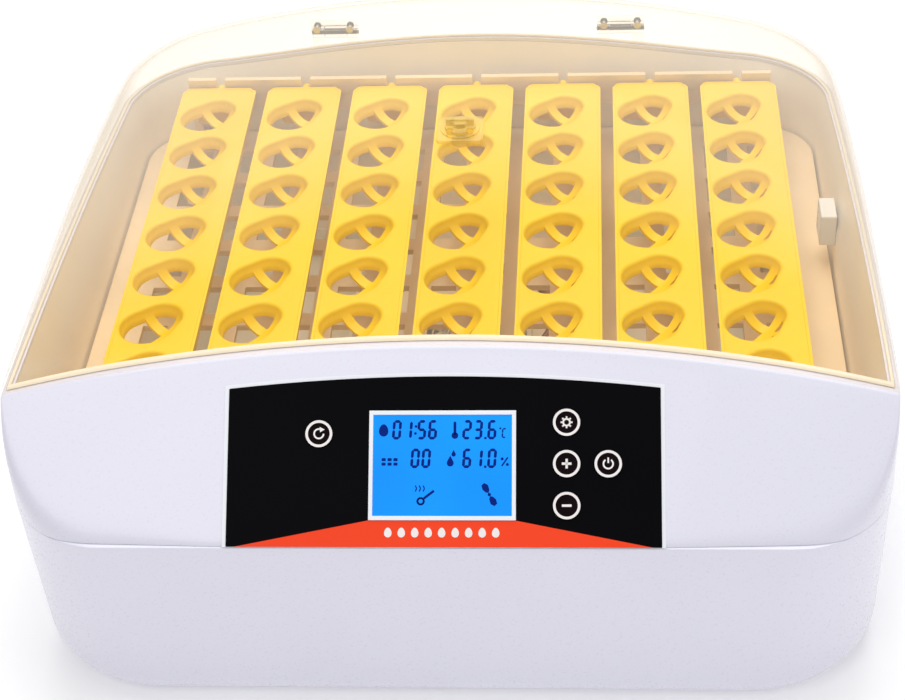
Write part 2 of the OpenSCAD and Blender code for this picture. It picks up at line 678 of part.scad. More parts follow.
// ---------- lid ----------
// one side of the lid: `skin` is how far this surface lies inside the outer one
function lid_rings(skin, foot_lift) =
    let (
        turns = [0, 30, 60, 90],
        shoulder = [for (a = turns) [for (q = SPOTS)
            let (w = housing_point(q, 0, corner_r),
                 r = max(1.2, shoulder_r(max(w.y, facet_y(rim_z(w.x, w.y)))) - skin),
                 inset = skin + r * (1 - cos(a)),
                 p = housing_point(q, inset, corner_r),
                 rough_z = lid_z(p.x, p.y) - skin - r * (1 - sin(a)),
                 y = max(p.y, facet_y(rough_z) + inset * facet_run * (a == 0 ? 1 : 0.8)))
            [p.x, y, lid_z(p.x, y) - skin - r * (1 - sin(a))]]],
        edge = shoulder[len(turns) - 1],
        top = [for (s = [0.86, 0.66, 0.44, 0.2]) [for (p = edge)
            let (x = p.x * s, y = lerp(crown_y, p.y, s)) [x, y, lid_z(x, y) - skin]]],
        foot = [for (q = SPOTS) wall_point(q, skin, spot_rim(q) + foot_lift)])
    concat([foot], shoulder, top);
vent_places = [for (a = [45:90:315]) [8.5 * cos(a), 8.5 * sin(a)]];

module lid_shell() color(clear) {
    outer = lid_rings(0, lid_gap);
    inner = lid_rings(lid_wall, lid_gap);
    last = len(inner) - 1;
    difference() {
        capped_solid(concat([for (k = [last:-1:0]) inner[k]], outer),
                     [0, crown_y, crown_z - lid_wall], [0, crown_y, crown_z]);
        translate([0, crown_y, crown_z - 8]) cylinder(d = 7, h = 16);
        for (p = vent_places) translate([p.x, crown_y + p.y, crown_z - 8]) cylinder(d = 4.5, h = 16);
        for (s = [-1, 1], x = [-11.5, 11.5])
            translate([s * hinge_x + x, rear_y - 2 * lid_wall, hinge_z + 7.5]) rotate([-90, 0, 0])
                cylinder(d = 3, h = 3 * lid_wall);
    }
}
function rim_strip(inset, lift) = [for (q = SPOTS) wall_point(q, inset, spot_rim(q) + lift)];
module lid_gasket() color(cream) {
    near = lid_wall + 0.2;
    far = lid_wall + 2;
    ring_solid([rim_strip(near, 0.5), rim_strip(near, 1.7), rim_strip(far, 1.7), rim_strip(far, 0.5)]);
}
module vent_frame() color(cream) translate([0, crown_y, crown_z]) difference() {
    union() {
        round_plate([28, 28], 3, 2.4);
        translate([0, 0, 2.4 - eps]) cylinder(d = 24, h = 1);
    }
    translate([0, 0, -1]) cylinder(d = 6.5, h = 6);
    for (p = vent_places) translate([p.x, p.y, -1]) cylinder(d = 4.5, h = 6);
}
module vent_knob() color(cream) translate([0, crown_y, crown_z]) {
    difference() {
        translate([0, 0, 3.8]) cylinder(d = 19, h = 1.6);
        for (p = vent_places) translate([p.x, p.y, 3]) cylinder(d = 4.5, h = 3);
    }
    translate([0, 0, 5.4 - eps]) cylinder(d = 10, h = 3);
    translate([-8.5, -1.6, 5.4 - eps]) cube([17, 3.2, 4.4]);
    translate([0, 0, -6]) cylinder(d = 6.4, h = 10);
    translate([0, 0, -7.4]) cylinder(d = 12, h = 1.6);
}

// ---------- hinges ----------
module hinge_lugs_base() color(white) for (s = [-1, 1]) translate([s * hinge_x, 0, 0]) {
    for (k = [-1, 1]) difference() {
        union() {
            translate([k * 12 - 4, hinge_y, hinge_z]) rotate([0, 90, 0]) cylinder(r = barrel_r, h = 8);
            translate([k * 12 - 4, hinge_y - 2, hinge_z - 18]) cube([8, leaf_t, 18]);
            translate([k * 12 - 4, rear_y, hinge_z - 18]) cube([8, hinge_out - 2 + eps, leaf_t]);
        }
        translate([k * 12 - 5, hinge_y, hinge_z]) rotate([0, 90, 0]) cylinder(r = pin_r, h = 10);
    }
    difference() {
        translate([-16, rear_y, hinge_z - 36]) cube([32, leaf_t, 20.2]);
        for (x = [-9, 9]) translate([x, rear_y - 1, hinge_z - 26]) rotate([-90, 0, 0]) cylinder(d = 3, h = 5);
    }
}
module hinge_lugs_lid() color(white) for (s = [-1, 1]) translate([s * hinge_x, 0, 0]) {
    difference() {
        union() {
            translate([-7.6, hinge_y, hinge_z]) rotate([0, 90, 0]) cylinder(r = barrel_r, h = 15.2);
            translate([-7.6, rear_y + 0.1, hinge_z + 1.5]) cube([15.2, hinge_out, leaf_t]);
            translate([-16, rear_y + 0.1, hinge_z + 1.5]) cube([32, leaf_t, 11]);
        }
        translate([-9, hinge_y, hinge_z]) rotate([0, 90, 0]) cylinder(r = pin_r + 0.05, h = 18);
        for (x = [-11.5, 11.5]) translate([x, rear_y - 1, hinge_z + 7.5]) rotate([-90, 0, 0]) cylinder(d = 3, h = 5);
    }
}
module hinge_pins() color(steel) for (s = [-1, 1])
    translate([s * hinge_x - 16.6, hinge_y, hinge_z]) rotate([0, 90, 0]) cylinder(r = pin_r, h = 33.2);
module hinge_screws() color(steel)
    for (s = [-1, 1], x = [-9, 9])
        translate([s * hinge_x + x, rear_y + leaf_t, hinge_z - 26]) rotate([90, 0, 0]) screw(3, 5.6, 1.5, 8);
module lid_rivets() color(steel)
    for (s = [-1, 1], x = [-11.5, 11.5])
        translate([s * hinge_x + x, rear_y + 0.1 + leaf_t, hinge_z + 7.5]) rotate([90, 0, 0]) {
            screw(3, 5, 1.2, leaf_t + lid_wall + 1);
            translate([0, 0, leaf_t + lid_wall + 0.6]) cylinder(d = 5, h = 1.2);
        }

lower_housing();
upper_housing();
inner_liner();
rubber_feet();
bottom_screws();
floor_grid();
water_trough(-1);  // water_trough_left
water_trough(1);  // water_trough_right
front_rail();
rear_rail();
rail_screws();
egg_tray(1);  // egg_tray_1
egg_tray(2);  // egg_tray_2
egg_tray(3);  // egg_tray_3
egg_tray(4);  // egg_tray_4
egg_tray(5);  // egg_tray_5
egg_tray(6);  // egg_tray_6
egg_tray(7);  // egg_tray_7
drive_bar();
drive_pinion();
turning_motor();
motor_screws();
fan_frame();
fan_impeller();
fan_guard();
fan_screws();
heater_ring();
heater_brackets();
sensor_pod();
panel_overlay();
accent_band();
display_bezel();
display_lcd();
display_module();
control_board();
board_screws();
power_board();
power_inlet();
button(0);  // button_reset
button(1);  // button_set
button(2);  // button_plus
button(3);  // button_minus
button(4);  // button_power
lid_shell();
lid_gasket();
vent_frame();
vent_knob();
hinge_lugs_base();
hinge_lugs_lid();
hinge_pins();
hinge_screws();
lid_rivets();
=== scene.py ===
"""Looks of the egg incubator: smooth shells, trays, the printed control panel, materials, light and camera.

Lengths in this script are millimetres in the part's own frame; MM turns them into Blender's metres.
"""
import math

import bmesh
import bpy
from mathutils import Matrix, Vector


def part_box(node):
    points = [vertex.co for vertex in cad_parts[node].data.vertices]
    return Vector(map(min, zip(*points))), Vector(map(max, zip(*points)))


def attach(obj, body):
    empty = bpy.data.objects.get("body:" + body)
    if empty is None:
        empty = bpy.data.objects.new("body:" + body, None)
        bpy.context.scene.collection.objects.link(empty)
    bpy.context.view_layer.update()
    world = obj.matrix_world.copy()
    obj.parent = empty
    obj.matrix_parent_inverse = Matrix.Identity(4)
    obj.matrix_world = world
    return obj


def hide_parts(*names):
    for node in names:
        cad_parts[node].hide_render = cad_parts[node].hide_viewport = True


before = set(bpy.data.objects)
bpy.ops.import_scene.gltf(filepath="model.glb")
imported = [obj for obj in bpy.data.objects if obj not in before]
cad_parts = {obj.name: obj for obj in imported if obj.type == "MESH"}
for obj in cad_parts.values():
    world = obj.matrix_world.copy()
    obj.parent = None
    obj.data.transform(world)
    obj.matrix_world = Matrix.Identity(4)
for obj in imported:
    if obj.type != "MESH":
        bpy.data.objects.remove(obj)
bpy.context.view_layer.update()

MM = 0.001


def box_mm(node):
    """Lowest and highest corner of a CAD node in millimetres."""
    low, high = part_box(node)
    return low / MM, high / MM


# ---------- sizes shared with the CAD model ----------
tub_low, tub_high = box_mm("lower_housing")
FRONT_Y = tub_low.y
REAR_Y = tub_high.y
HALF_W = 246
FOOT_Z = 3
WALL = 3
FLOOR_Z = 8
FACET_Z = 122
FACET_SLOPE = math.radians(42.4)
CORNER_R = 56
FOOT_CORNER_R = 76
SIDE_BOW = 0.02
SEAM_GAP = 0.3
RIM_FRONT_Y, RIM_REAR_Y = -181, 190
RIM_FRONT, RIM_REAR = 177, 145
ARCH_FRONT, ARCH_REAR = 18.5, 22
FLANGE_T, FLANGE_W = 2.5, 5.8

LINER_W, LINER_T = 236, 2.5
LINER_FRONT, LINER_REAR = -156.5, 215.5
LINER_FRONT_R, LINER_REAR_R = 24, 42
LINER_Z, LINER_DRAW, TAPER_TOP, UPRIGHT_TOP = 26, 24, 94, 126

CROWN_Y, CROWN_Z = 34, 209
FALL_FRONT, FALL_FRONT_RUN = 9, 190
FALL_REAR, FALL_REAR_RUN = 5, 195
FLAT_Y = -156
LID_WALL, LID_GAP, LID_ARCH = 2.5, 0.4, 41

TRAY_PITCH, CUP_PITCH, CUPS = 60, 47, 7
TRAY_W, TRAY_DEPTH, TRAY_SKIN = 51.6, 28, 1.8
TRAY_Z = box_mm("egg_tray_4")[1].z
TRAY_REAR, TRAY_FRONT = 203, -143
CUPS_MIDDLE_Y = TRAY_REAR - 10 - CUP_PITCH * CUPS / 2
PIVOT_Z = TRAY_Z - 4
STUB_R, PIN_R, STUB_OUT, DRIVE_ARM = 3, 2.5, 7.5, 18
CUP_X = -2.4
CUP_BIG, CUP_SMALL, CUP_REACH, CUP_LEAN = 16, 12.5, 12, math.radians(52)

DISPLAY_MID = (-0.3, 44.2)
LCD_SIZE = (74.6, 54.4)
OVERLAY_T = 1
PANEL_W, PANEL_H, PANEL_SAG, PANEL_LOW = 233, 92, 6.5, 0.4
BUTTON_D = 14.8
BUTTON_TOP = OVERLAY_T + 0.9
BUTTON_HOLE_R = (BUTTON_D + 0.6) / 2
SIGN_LOW, SIGN_HIGH = BUTTON_TOP - 0.6, BUTTON_TOP - 0.14
BUTTONS = {"reset": (-67, 61.2), "set": (66.2, 67.2), "plus": (66.2, 45), "minus": (66.2, 22.6),
           "power": (88.3, 44.9)}
INLET = (140, 44)


# ---------- small numeric helpers ----------
def lerp(a, b, t):
    return a + (b - a) * t


def part_of(value, a, b):
    return min(1, max(0, (value - a) / (b - a)))


def soft_max(a, b, width):
    """The larger of a and b, with the corner between them rounded over `width`."""
    near = max(0, width - abs(a - b))
    return max(a, b) + near * near / (4 * width)


# ---------- plan outlines: rounded rectangles walked counter-clockwise ----------
def outline_spots(arc, along_x, along_y):
    """Spots as (corner, angle on its arc, share of the way to the next corner)."""
    spots = []
    for corner in range(4):
        spots += [(corner, 90 * corner - 90 + 90 * k / arc, 0) for k in range(arc + 1)]
        count = along_y if corner % 2 == 0 else along_x
        spots += [(corner, 90 * corner, k / (count + 1)) for k in range(1, count + 1)]
    return spots


SPOTS = outline_spots(arc=40, along_x=46, along_y=40)


def corner_point(corner, angle, w, front, rear, r):
    a = math.radians(angle)
    x = (1 if corner in (0, 1) else -1) * (w - r) + r * math.cos(a)
    y = (front + r if corner in (0, 3) else rear - r) + r * math.sin(a)
    return Vector((x, y))


def spot_point(spot, w, front, rear, front_r, rear_r):
    corner, angle, share = spot
    here = corner_point(corner, angle, w, front, rear, front_r if corner in (0, 3) else rear_r)
    if share == 0:
        return here
    after = (corner + 1) % 4
    there = corner_point(after, angle, w, front, rear, front_r if after in (0, 3) else rear_r)
    return here.lerp(there, share)


def housing_point(spot, inset, r):
    p = spot_point(spot, HALF_W - inset, FRONT_Y + inset, REAR_Y - inset, r - inset, r - inset)
    return Vector((p.x * (1 - SIDE_BOW * (p.y / FRONT_Y) ** 2), p.y))


def liner_point(spot, inset, draw):
    return spot_point(spot, LINER_W - inset - draw, LINER_FRONT + inset, LINER_REAR - inset - draw,
                      LINER_FRONT_R - inset, LINER_REAR_R - inset + draw / 3)


# ---------- surfaces ----------
FACET_RUN = 1 / math.sin(FACET_SLOPE)
# the facet's own frame: x across, y up the slope, z out of it
FACET = Matrix.Translation((0, FRONT_Y, FACET_Z)) @ Matrix.Rotation(FACET_SLOPE, 4, "X")
CREASE_CRISP, CREASE_ROUND = 4, 11
CREASE_TURNS = (125, 190)


def crease_softness(x):
    """The facet's edge is crisp behind the panel and rounder towards the corners."""
    return lerp(CREASE_CRISP, CREASE_ROUND, part_of(abs(x), *CREASE_TURNS))


def facet_y(z):
    return FRONT_Y + (z - FACET_Z) / math.tan(FACET_SLOPE)


def rim_z(x, y):
    """The upper housing's rim: it falls to the rear and arches up towards the middle."""
    u = part_of(y, RIM_FRONT_Y, RIM_REAR_Y)
    q = max(0, 1 - (x / HALF_W) ** 2)
    return lerp(RIM_FRONT, RIM_REAR, u) + lerp(ARCH_FRONT, ARCH_REAR, u) * q ** (1 + u)


def lid_z(x, y):
    """The lid's top: a crown that falls gently to the front and rear and arches down to the sides."""
    back = max(y, FLAT_Y) - CROWN_Y
    fall = FALL_FRONT * (back / FALL_FRONT_RUN) ** 2 if back < 0 else FALL_REAR * (back / FALL_REAR_RUN) ** 2
    return CROWN_Z - fall - lerp(ARCH_FRONT, LID_ARCH, part_of(y, FLAT_Y, REAR_Y)) * (x / HALF_W) ** 2


def spot_rim(spot):
    """The rim's height above an outline spot."""
    p = housing_point(spot, 0, CORNER_R)
    return rim_z(p.x, p.y)


def shoulder_r(y):
    """Radius of the lid's rounded shoulder, tight at the front."""
    return 4 + 8 * part_of(y, -156, -76) + 3 * part_of(y, 140, 200)


def wall_point(spot, inset, z):
    """A point of the housing's wall, which the facet cuts back at the front."""
    p = housing_point(spot, inset, CORNER_R)
    return Vector((p.x, soft_max(p.y, facet_y(z) + inset * FACET_RUN, crease_softness(p.x)), z))


# ---------- meshes ----------
def add_rings(bm, rings, wrap=False):
    """Joins rings of points into a skin; with wrap the last ring meets the first."""
    made = [[bm.verts.new(p) for p in ring] for ring in rings]
    pairs = list(zip(made, made[1:])) + ([(made[-1], made[0])] if wrap else [])
    for first, second in pairs:
        for i in range(len(first)):
            j = (i + 1) % len(first)
            bm.faces.new((first[i], first[j], second[j], second[i]))
    return made


def add_cap(bm, ring, middle):
    centre = bm.verts.new(middle)
    for i in range(len(ring)):
        bm.faces.new((ring[i], ring[(i + 1) % len(ring)], centre))


def add_prism(bm, outline, low, high, place=Matrix.Identity(4), bevel=0):
    """A straight prism over a plan outline, with its edges rounded by `bevel`."""
    part = bmesh.new()
    bottom = [part.verts.new((x, y, low)) for x, y in outline]
    top = [part.verts.new((x, y, high)) for x, y in outline]
    part.faces.new(bottom[::-1])
    part.faces.new(top)
    for i in range(len(outline)):
        j = (i + 1) % len(outline)
        part.faces.new((bottom[i], bottom[j], top[j], top[i]))
    bmesh.ops.recalc_face_normals(part, faces=part.faces)
    if bevel:
        sharp = [e for e in part.edges if e.calc_face_angle(0) > math.radians(30)]
        bmesh.ops.bevel(part, geom=sharp, offset=bevel, segments=3, affect="EDGES", clamp_overlap=True)
    part.transform(place)
    merge(bm, part)


def merge(bm, part):
    """Moves everything in `part` into `bm`."""
    mesh = bpy.data.meshes.new("part")
    part.to_mesh(mesh)
    part.free()
    bm.from_mesh(mesh)
    bpy.data.meshes.remove(mesh)


def add_turned(bm, profile, place=Matrix.Identity(4), steps=48):
    """A solid turned about Z from (radius, height) points that start and end on the axis."""
    part = bmesh.new()
    rings = [[(r * math.cos(a), r * math.sin(a), z)
              for a in (2 * math.pi * k / steps for k in range(steps))] for r, z in profile[1:-1]]
    made = add_rings(part, rings)
    add_cap(part, made[0][::-1], (0, 0, profile[0][1]))
    add_cap(part, made[-1], (0, 0, profile[-1][1]))
    part.transform(place)
    merge(bm, part)


def shade(bm, sharp_degrees=40):
    """Smooth shading, with the edges that turn further than `sharp_degrees` kept sharp."""
    limit = math.radians(sharp_degrees)
    for edge in bm.edges:
        edge.smooth = edge.calc_face_angle(0) < limit
    for face in bm.faces:
        face.smooth = True


def finish_mesh(bm, name, sharp_degrees=40, weld=0.004, outward=True):
    """Cleans and shades a mesh in millimetres and hands it over in metres."""
    bmesh.ops.remove_doubles(bm, verts=bm.verts, dist=weld)
    bmesh.ops.dissolve_degenerate(bm, edges=bm.edges, dist=weld / 2)
    if outward:
        bmesh.ops.recalc_face_normals(bm, faces=bm.faces)
    shade(bm, sharp_degrees)
    bm.transform(Matrix.Scale(MM, 4))
    mesh = bpy.data.meshes.new(name)
    bm.to_mesh(mesh)
    bm.free()
    return mesh


def metres(place):
    """The same place with its distances in metres."""
    return Matrix.Translation(place.to_translation() * MM) @ place.to_3x3().to_4x4()


def new_piece(name, mesh, body, material, place=None):
    """place is a matrix in millimetres: where the mesh's own origin goes."""
    obj = bpy.data.objects.new(name, mesh)
    bpy.context.scene.collection.objects.link(obj)
    if place is not None:
        obj.matrix_world = metres(place)
    if not mesh.materials:
        mesh.materials.append(material)
    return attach(obj, body)


def cut_away(obj, cutter_mesh, place=None):
    """Takes the cutter's volume out of obj; place is where the cutter's own origin goes, in millimetres."""
    cutter = bpy.data.objects.new("cutter", cutter_mesh)
    bpy.context.scene.collection.objects.link(cutter)
    if place is not None:
        cutter.matrix_world = metres(place)
    tool = obj.modifiers.new("cut", "BOOLEAN")
    tool.operation = "DIFFERENCE"
    tool.solver = "EXACT"
    tool.object = cutter
    bpy.context.view_layer.update()
    result = bpy.data.meshes.new_from_object(obj.evaluated_get(bpy.context.evaluated_depsgraph_get()))
    obj.modifiers.clear()
    obj.data = result
    bpy.data.objects.remove(cutter)
    bm = bmesh.new()
    bm.from_mesh(result)
    shade(bm)
    bm.to_mesh(result)
    bm.free()


def circle_points(r, steps=64, centre=(0, 0)):
    return [(centre[0] + r * math.cos(2 * math.pi * k / steps),
             centre[1] + r * math.sin(2 * math.pi * k / steps)) for k in range(steps)]


def rounded_rectangle(w, h, r, centre=(0, 0), steps=6):
    points = []
    for quarter, (sx, sy) in enumerate([(1, 1), (-1, 1), (-1, -1), (1, -1)]):
        for k in range(steps + 1):
            a = math.radians(90 * quarter + 90 * k / steps)
            points.append((centre[0] + sx * (w / 2 - r) + r * math.cos(a),
                           centre[1] + sy * (h / 2 - r) + r * math.sin(a)))
    return points


# ---------- materials ----------
def nodes_of(name):
    material = bpy.data.materials.new(name)
    material.use_nodes = True
    tree = material.node_tree
    shader = tree.nodes["Principled BSDF"]
    return material, tree, shader


def add_noise(tree, scale, detail, roughness=0.5, stretch=(1, 1, 1)):
    coords = tree.nodes.new("ShaderNodeTexCoord")
    mapping = tree.nodes.new("ShaderNodeMapping")
    mapping.inputs["Scale"].default_value = stretch
    noise = tree.nodes.new("ShaderNodeTexNoise")
    noise.inputs["Scale"].default_value = scale
    noise.inputs["Detail"].default_value = detail
    noise.inputs["Roughness"].default_value = roughness
    tree.links.new(coords.outputs["Object"], mapping.inputs["Vector"])
    tree.links.new(mapping.outputs["Vector"], noise.inputs["Vector"])
    return noise


def add_range(tree, source, low, high, low_from=0.3, high_from=0.7):
    node = tree.nodes.new("ShaderNodeMapRange")
    node.inputs["From Min"].default_value = low_from
    node.inputs["From Max"].default_value = high_from
    node.inputs["To Min"].default_value = low
    node.inputs["To Max"].default_value = high
    tree.links.new(source, node.inputs["Value"])
    return node.outputs["Result"]


def add_tint(tree, source, dark, light, low=0.3, high=0.7):
    ramp = tree.nodes.new("ShaderNodeValToRGB")
    ramp.color_ramp.elements[0].position = low
    ramp.color_ramp.elements[0].color = (*dark, 1)
    ramp.color_ramp.elements[1].position = high
    ramp.color_ramp.elements[1].color = (*light, 1)
    tree.links.new(source, ramp.inputs["Fac"])
    return ramp.outputs["Color"]


def scaled(colour, factor):
    return tuple(min(1, c * factor) for c in colour)


def moulded(name, colour, roughness=0.35, grain=900, relief=0.02, mottling=0.04, coat=0, gloss=0.5):
    """Moulded plastic or rubber: broad tone drift, a fine surface grain and uneven gloss."""
    material, tree, shader = nodes_of(name)
    broad = add_noise(tree, 9, 3)
    fine = add_noise(tree, grain, 2)
    tone = add_tint(tree, broad.outputs["Fac"], scaled(colour, 1 - mottling), scaled(colour, 1 + mottling))
    tree.links.new(tone, shader.inputs["Base Color"])
    tree.links.new(add_range(tree, fine.outputs["Fac"], roughness * 0.85, roughness * 1.2),
                   shader.inputs["Roughness"])
    bump = tree.nodes.new("ShaderNodeBump")
    bump.inputs["Strength"].default_value = relief
    bump.inputs["Distance"].default_value = 0.0004
    tree.links.new(fine.outputs["Fac"], bump.inputs["Height"])
    tree.links.new(bump.outputs["Normal"], shader.inputs["Normal"])
    shader.inputs["Specular IOR Level"].default_value = gloss
    shader.inputs["Coat Weight"].default_value = coat
    shader.inputs["Coat Roughness"].default_value = 0.06
    return material


def brushed(name, colour, roughness=0.3, stretch=(1, 1, 40)):
    """Plated or brushed metal with fine drawn lines."""
    material, tree, shader = nodes_of(name)
    lines = add_noise(tree, 300, 4, stretch=stretch)
    tree.links.new(add_tint(tree, lines.outputs["Fac"], scaled(colour, 0.85), scaled(colour, 1.1)),
                   shader.inputs["Base Color"])
    tree.links.new(add_range(tree, lines.outputs["Fac"], roughness * 0.7, roughness * 1.4),
                   shader.inputs["Roughness"])
    shader.inputs["Metallic"].default_value = 1
    return material


def clear_plastic(name, tint, body, haze, edge_haze, roughness=0.06):
    """Clear moulded plastic: mostly see-through, milkier where it is seen at a slant."""
    material, tree, shader = nodes_of(name)
    output = tree.nodes["Material Output"]
    drift = add_noise(tree, 6, 2)
    tree.links.new(add_tint(tree, drift.outputs["Fac"], scaled(body, 0.95), scaled(body, 1.04)),
                   shader.inputs["Base Color"])
    ripple = add_noise(tree, 14, 2)
    bump = tree.nodes.new("ShaderNodeBump")
    bump.inputs["Strength"].default_value = 0.08
    bump.inputs["Distance"].default_value = 0.002
    tree.links.new(ripple.outputs["Fac"], bump.inputs["Height"])
    tree.links.new(bump.outputs["Normal"], shader.inputs["Normal"])
    shader.inputs["Roughness"].default_value = roughness
    clear = tree.nodes.new("ShaderNodeBsdfTransparent")
    clear.inputs["Color"].default_value = (*tint, 1)
    slant = tree.nodes.new("ShaderNodeLayerWeight")
    slant.inputs["Blend"].default_value = 0.5
    share = add_range(tree, slant.outputs["Facing"], haze, edge_haze, 0.40, 1)
    mix = tree.nodes.new("ShaderNodeMixShader")
    tree.links.new(share, mix.inputs["Fac"])
    tree.links.new(clear.outputs["BSDF"], mix.inputs[1])
    tree.links.new(shader.outputs["BSDF"], mix.inputs[2])
    tree.links.new(mix.outputs["Shader"], output.inputs["Surface"])
    return material


def lit_screen(name, colour, strength):
    """A backlit display: its glow drifts a little over the face."""
    material, tree, shader = nodes_of(name)
    drift = add_noise(tree, 18, 1)
    tone = add_tint(tree, drift.outputs["Fac"], scaled(colour, 0.92), scaled(colour, 1.08))
    tree.links.new(tone, shader.inputs["Base Color"])
    tree.links.new(tone, shader.inputs["Emission Color"])
    shader.inputs["Emission Strength"].default_value = strength
    shader.inputs["Roughness"].default_value = 0.3
    shader.inputs["Specular IOR Level"].default_value = 0.08
    return material


WHITE = moulded("housing_white", (0.80, 0.79, 0.90),
                roughness=0.3, grain=700, relief=0.005, mottling=0.012, coat=0.25)
CREAM = moulded("liner_cream", (0.93, 0.87, 0.79), roughness=0.4, relief=0.02, mottling=0.04)
GASKET = moulded("gasket_cream", (0.95, 0.86, 0.70), roughness=0.5, relief=0.05)
YELLOW = moulded("tray_yellow", (0.98, 0.66, 0.0),
                 roughness=0.34, grain=500, relief=0.02, mottling=0.05, gloss=0.3)
BEIGE = moulded("grid_beige", (0.92, 0.73, 0.48), roughness=0.55, relief=0.04, mottling=0.10)
PART_WHITE = moulded("drive_white", (0.78, 0.76, 0.72), roughness=0.4, relief=0.03)
BLACK = moulded("black_plastic", (0.025, 0.025, 0.028), roughness=0.4, relief=0.06, mottling=0.1)
RUBBER = moulded("foot_rubber", (0.02, 0.02, 0.02), roughness=0.75, grain=1500, relief=0.12, mottling=0.15)
PANEL = moulded("panel_film", (0.003, 0.003, 0.004),
                roughness=0.3, grain=2500, relief=0.01, mottling=0.1, gloss=0.015)
ORANGE = moulded("accent_orange", (0.98, 0.065, 0.018),
                 roughness=0.4, grain=2500, relief=0.01, mottling=0.03, gloss=0.1)
PRINT = moulded("print_white", (0.93, 0.88, 0.86), roughness=0.45, grain=2500, relief=0.01)
BEZEL = moulded("bezel_white", (0.88, 0.90, 0.95), roughness=0.3, grain=1500, relief=0.01, mottling=0.02)
KEY = moulded("key_black", (0.007, 0.003, 0.004),
              roughness=0.4, grain=1500, relief=0.02, mottling=0.1, gloss=0.03)
INK = moulded("display_ink", (0.002, 0.02, 0.22),
              roughness=0.5, grain=2500, relief=0.01, mottling=0.1, gloss=0.05)
LCD = lit_screen("display_blue", (0.003, 0.19, 0.68), 0.78)
STEEL = brushed("plated_steel", (0.62, 0.62, 0.64))
BRASS = brushed("contact_brass", (0.75, 0.60, 0.33), roughness=0.25)
HEATER = brushed("heater_sheath", (0.32, 0.20, 0.14), roughness=0.5)
BOARD = moulded("board_green", (0.02, 0.16, 0.06), roughness=0.45, grain=600, relief=0.1, mottling=0.25)
CLEAR = clear_plastic("lid_clear", (1.0, 0.985, 0.96), (0.94, 0.88, 0.80), 0.02, 0.55)
CLEAR_TRIM = clear_plastic("vent_clear", (1.0, 0.93, 0.66), (0.95, 0.78, 0.34), 0.28, 0.80)


# ---------- shells ----------
def quarter(radius_in, radius_up, steps):
    """(inset, height) steps of a foot that rounds out to the wall."""
    return [(radius_in * (1 - math.sin(a)), radius_up * (1 - math.cos(a)))
            for a in (math.pi / 2 * k / steps for k in range(steps + 1))]


def tub_r(z):
    return lerp(FOOT_CORNER_R, CORNER_R, (z - FOOT_Z) / (FACET_Z - FOOT_Z))


def tub_ring(z, inset):
    return [(*housing_point(s, inset, tub_r(z)), z) for s in SPOTS]


def make_tub():
    top = FACET_Z - SEAM_GAP
    foot = [(FOOT_Z + up, inset) for inset, up in quarter(16, 18, 10)]
    wall = [(z, 0) for z in (24, 36, 50, 64, 78, 92, 104, 113, 118, top - 0.8)]
    lip = [(top - 0.25, 0.12), (top, 0.6), (top, WALL)]
    inside = [(z, WALL) for z in (112, 90, 66, 42, 24, FLOOR_Z + 8)]
    inner_foot = [(FLOOR_Z + 3.5, WALL + 1.5), (FLOOR_Z + 1, WALL + 5), (FLOOR_Z, WALL + 10)]
    bm = bmesh.new()
    made = add_rings(bm, [tub_ring(z, inset) for z, inset in foot + wall + lip + inside + inner_foot])
    add_cap(bm, made[0][::-1], (0, 0, FOOT_Z))
    add_cap(bm, made[-1], (0, 0, FLOOR_Z))
    obj = new_piece("tub_shell", finish_mesh(bm, "tub_shell"), "base", WHITE)
    hole = bmesh.new()
    add_prism(hole, rounded_rectangle(27.6, 20.6, 0.8), -8, 8, inlet_place())
    cut_away(obj, finish_mesh(hole, "inlet_hole"))
    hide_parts("lower_housing")


def inlet_place():
    """The power inlet's own frame: x across, y up, z out of the rear wall."""
    return Matrix.Translation((INLET[0], REAR_Y, INLET[1])) @ Matrix.Rotation(math.radians(-90), 4, "X") \
        @ Matrix.Rotation(math.pi, 4, "Z")


CREASE_STEPS = (-12, -7, -4.5, -3.2, -2.2, -1.4, -0.7, 0, 0.7, 1.4, 2.2, 3.2, 4.5, 7, 12)
EVEN_STEPS = tuple(k / 12 for k in range(13))


def riser_heights(spot):
    """Heights up one column of the upper wall, gathered closely round the facet's edge."""
    p = housing_point(spot, 0, CORNER_R)
    top = rim_z(p.x, p.y)
    crease = FACET_Z + (p.y - FRONT_Y) * math.tan(FACET_SLOPE)
    heights = [lerp(FACET_Z, top, t) for t in EVEN_STEPS]
    heights += [min(top, max(FACET_Z, crease + d)) for d in CREASE_STEPS]
    return sorted(heights), top


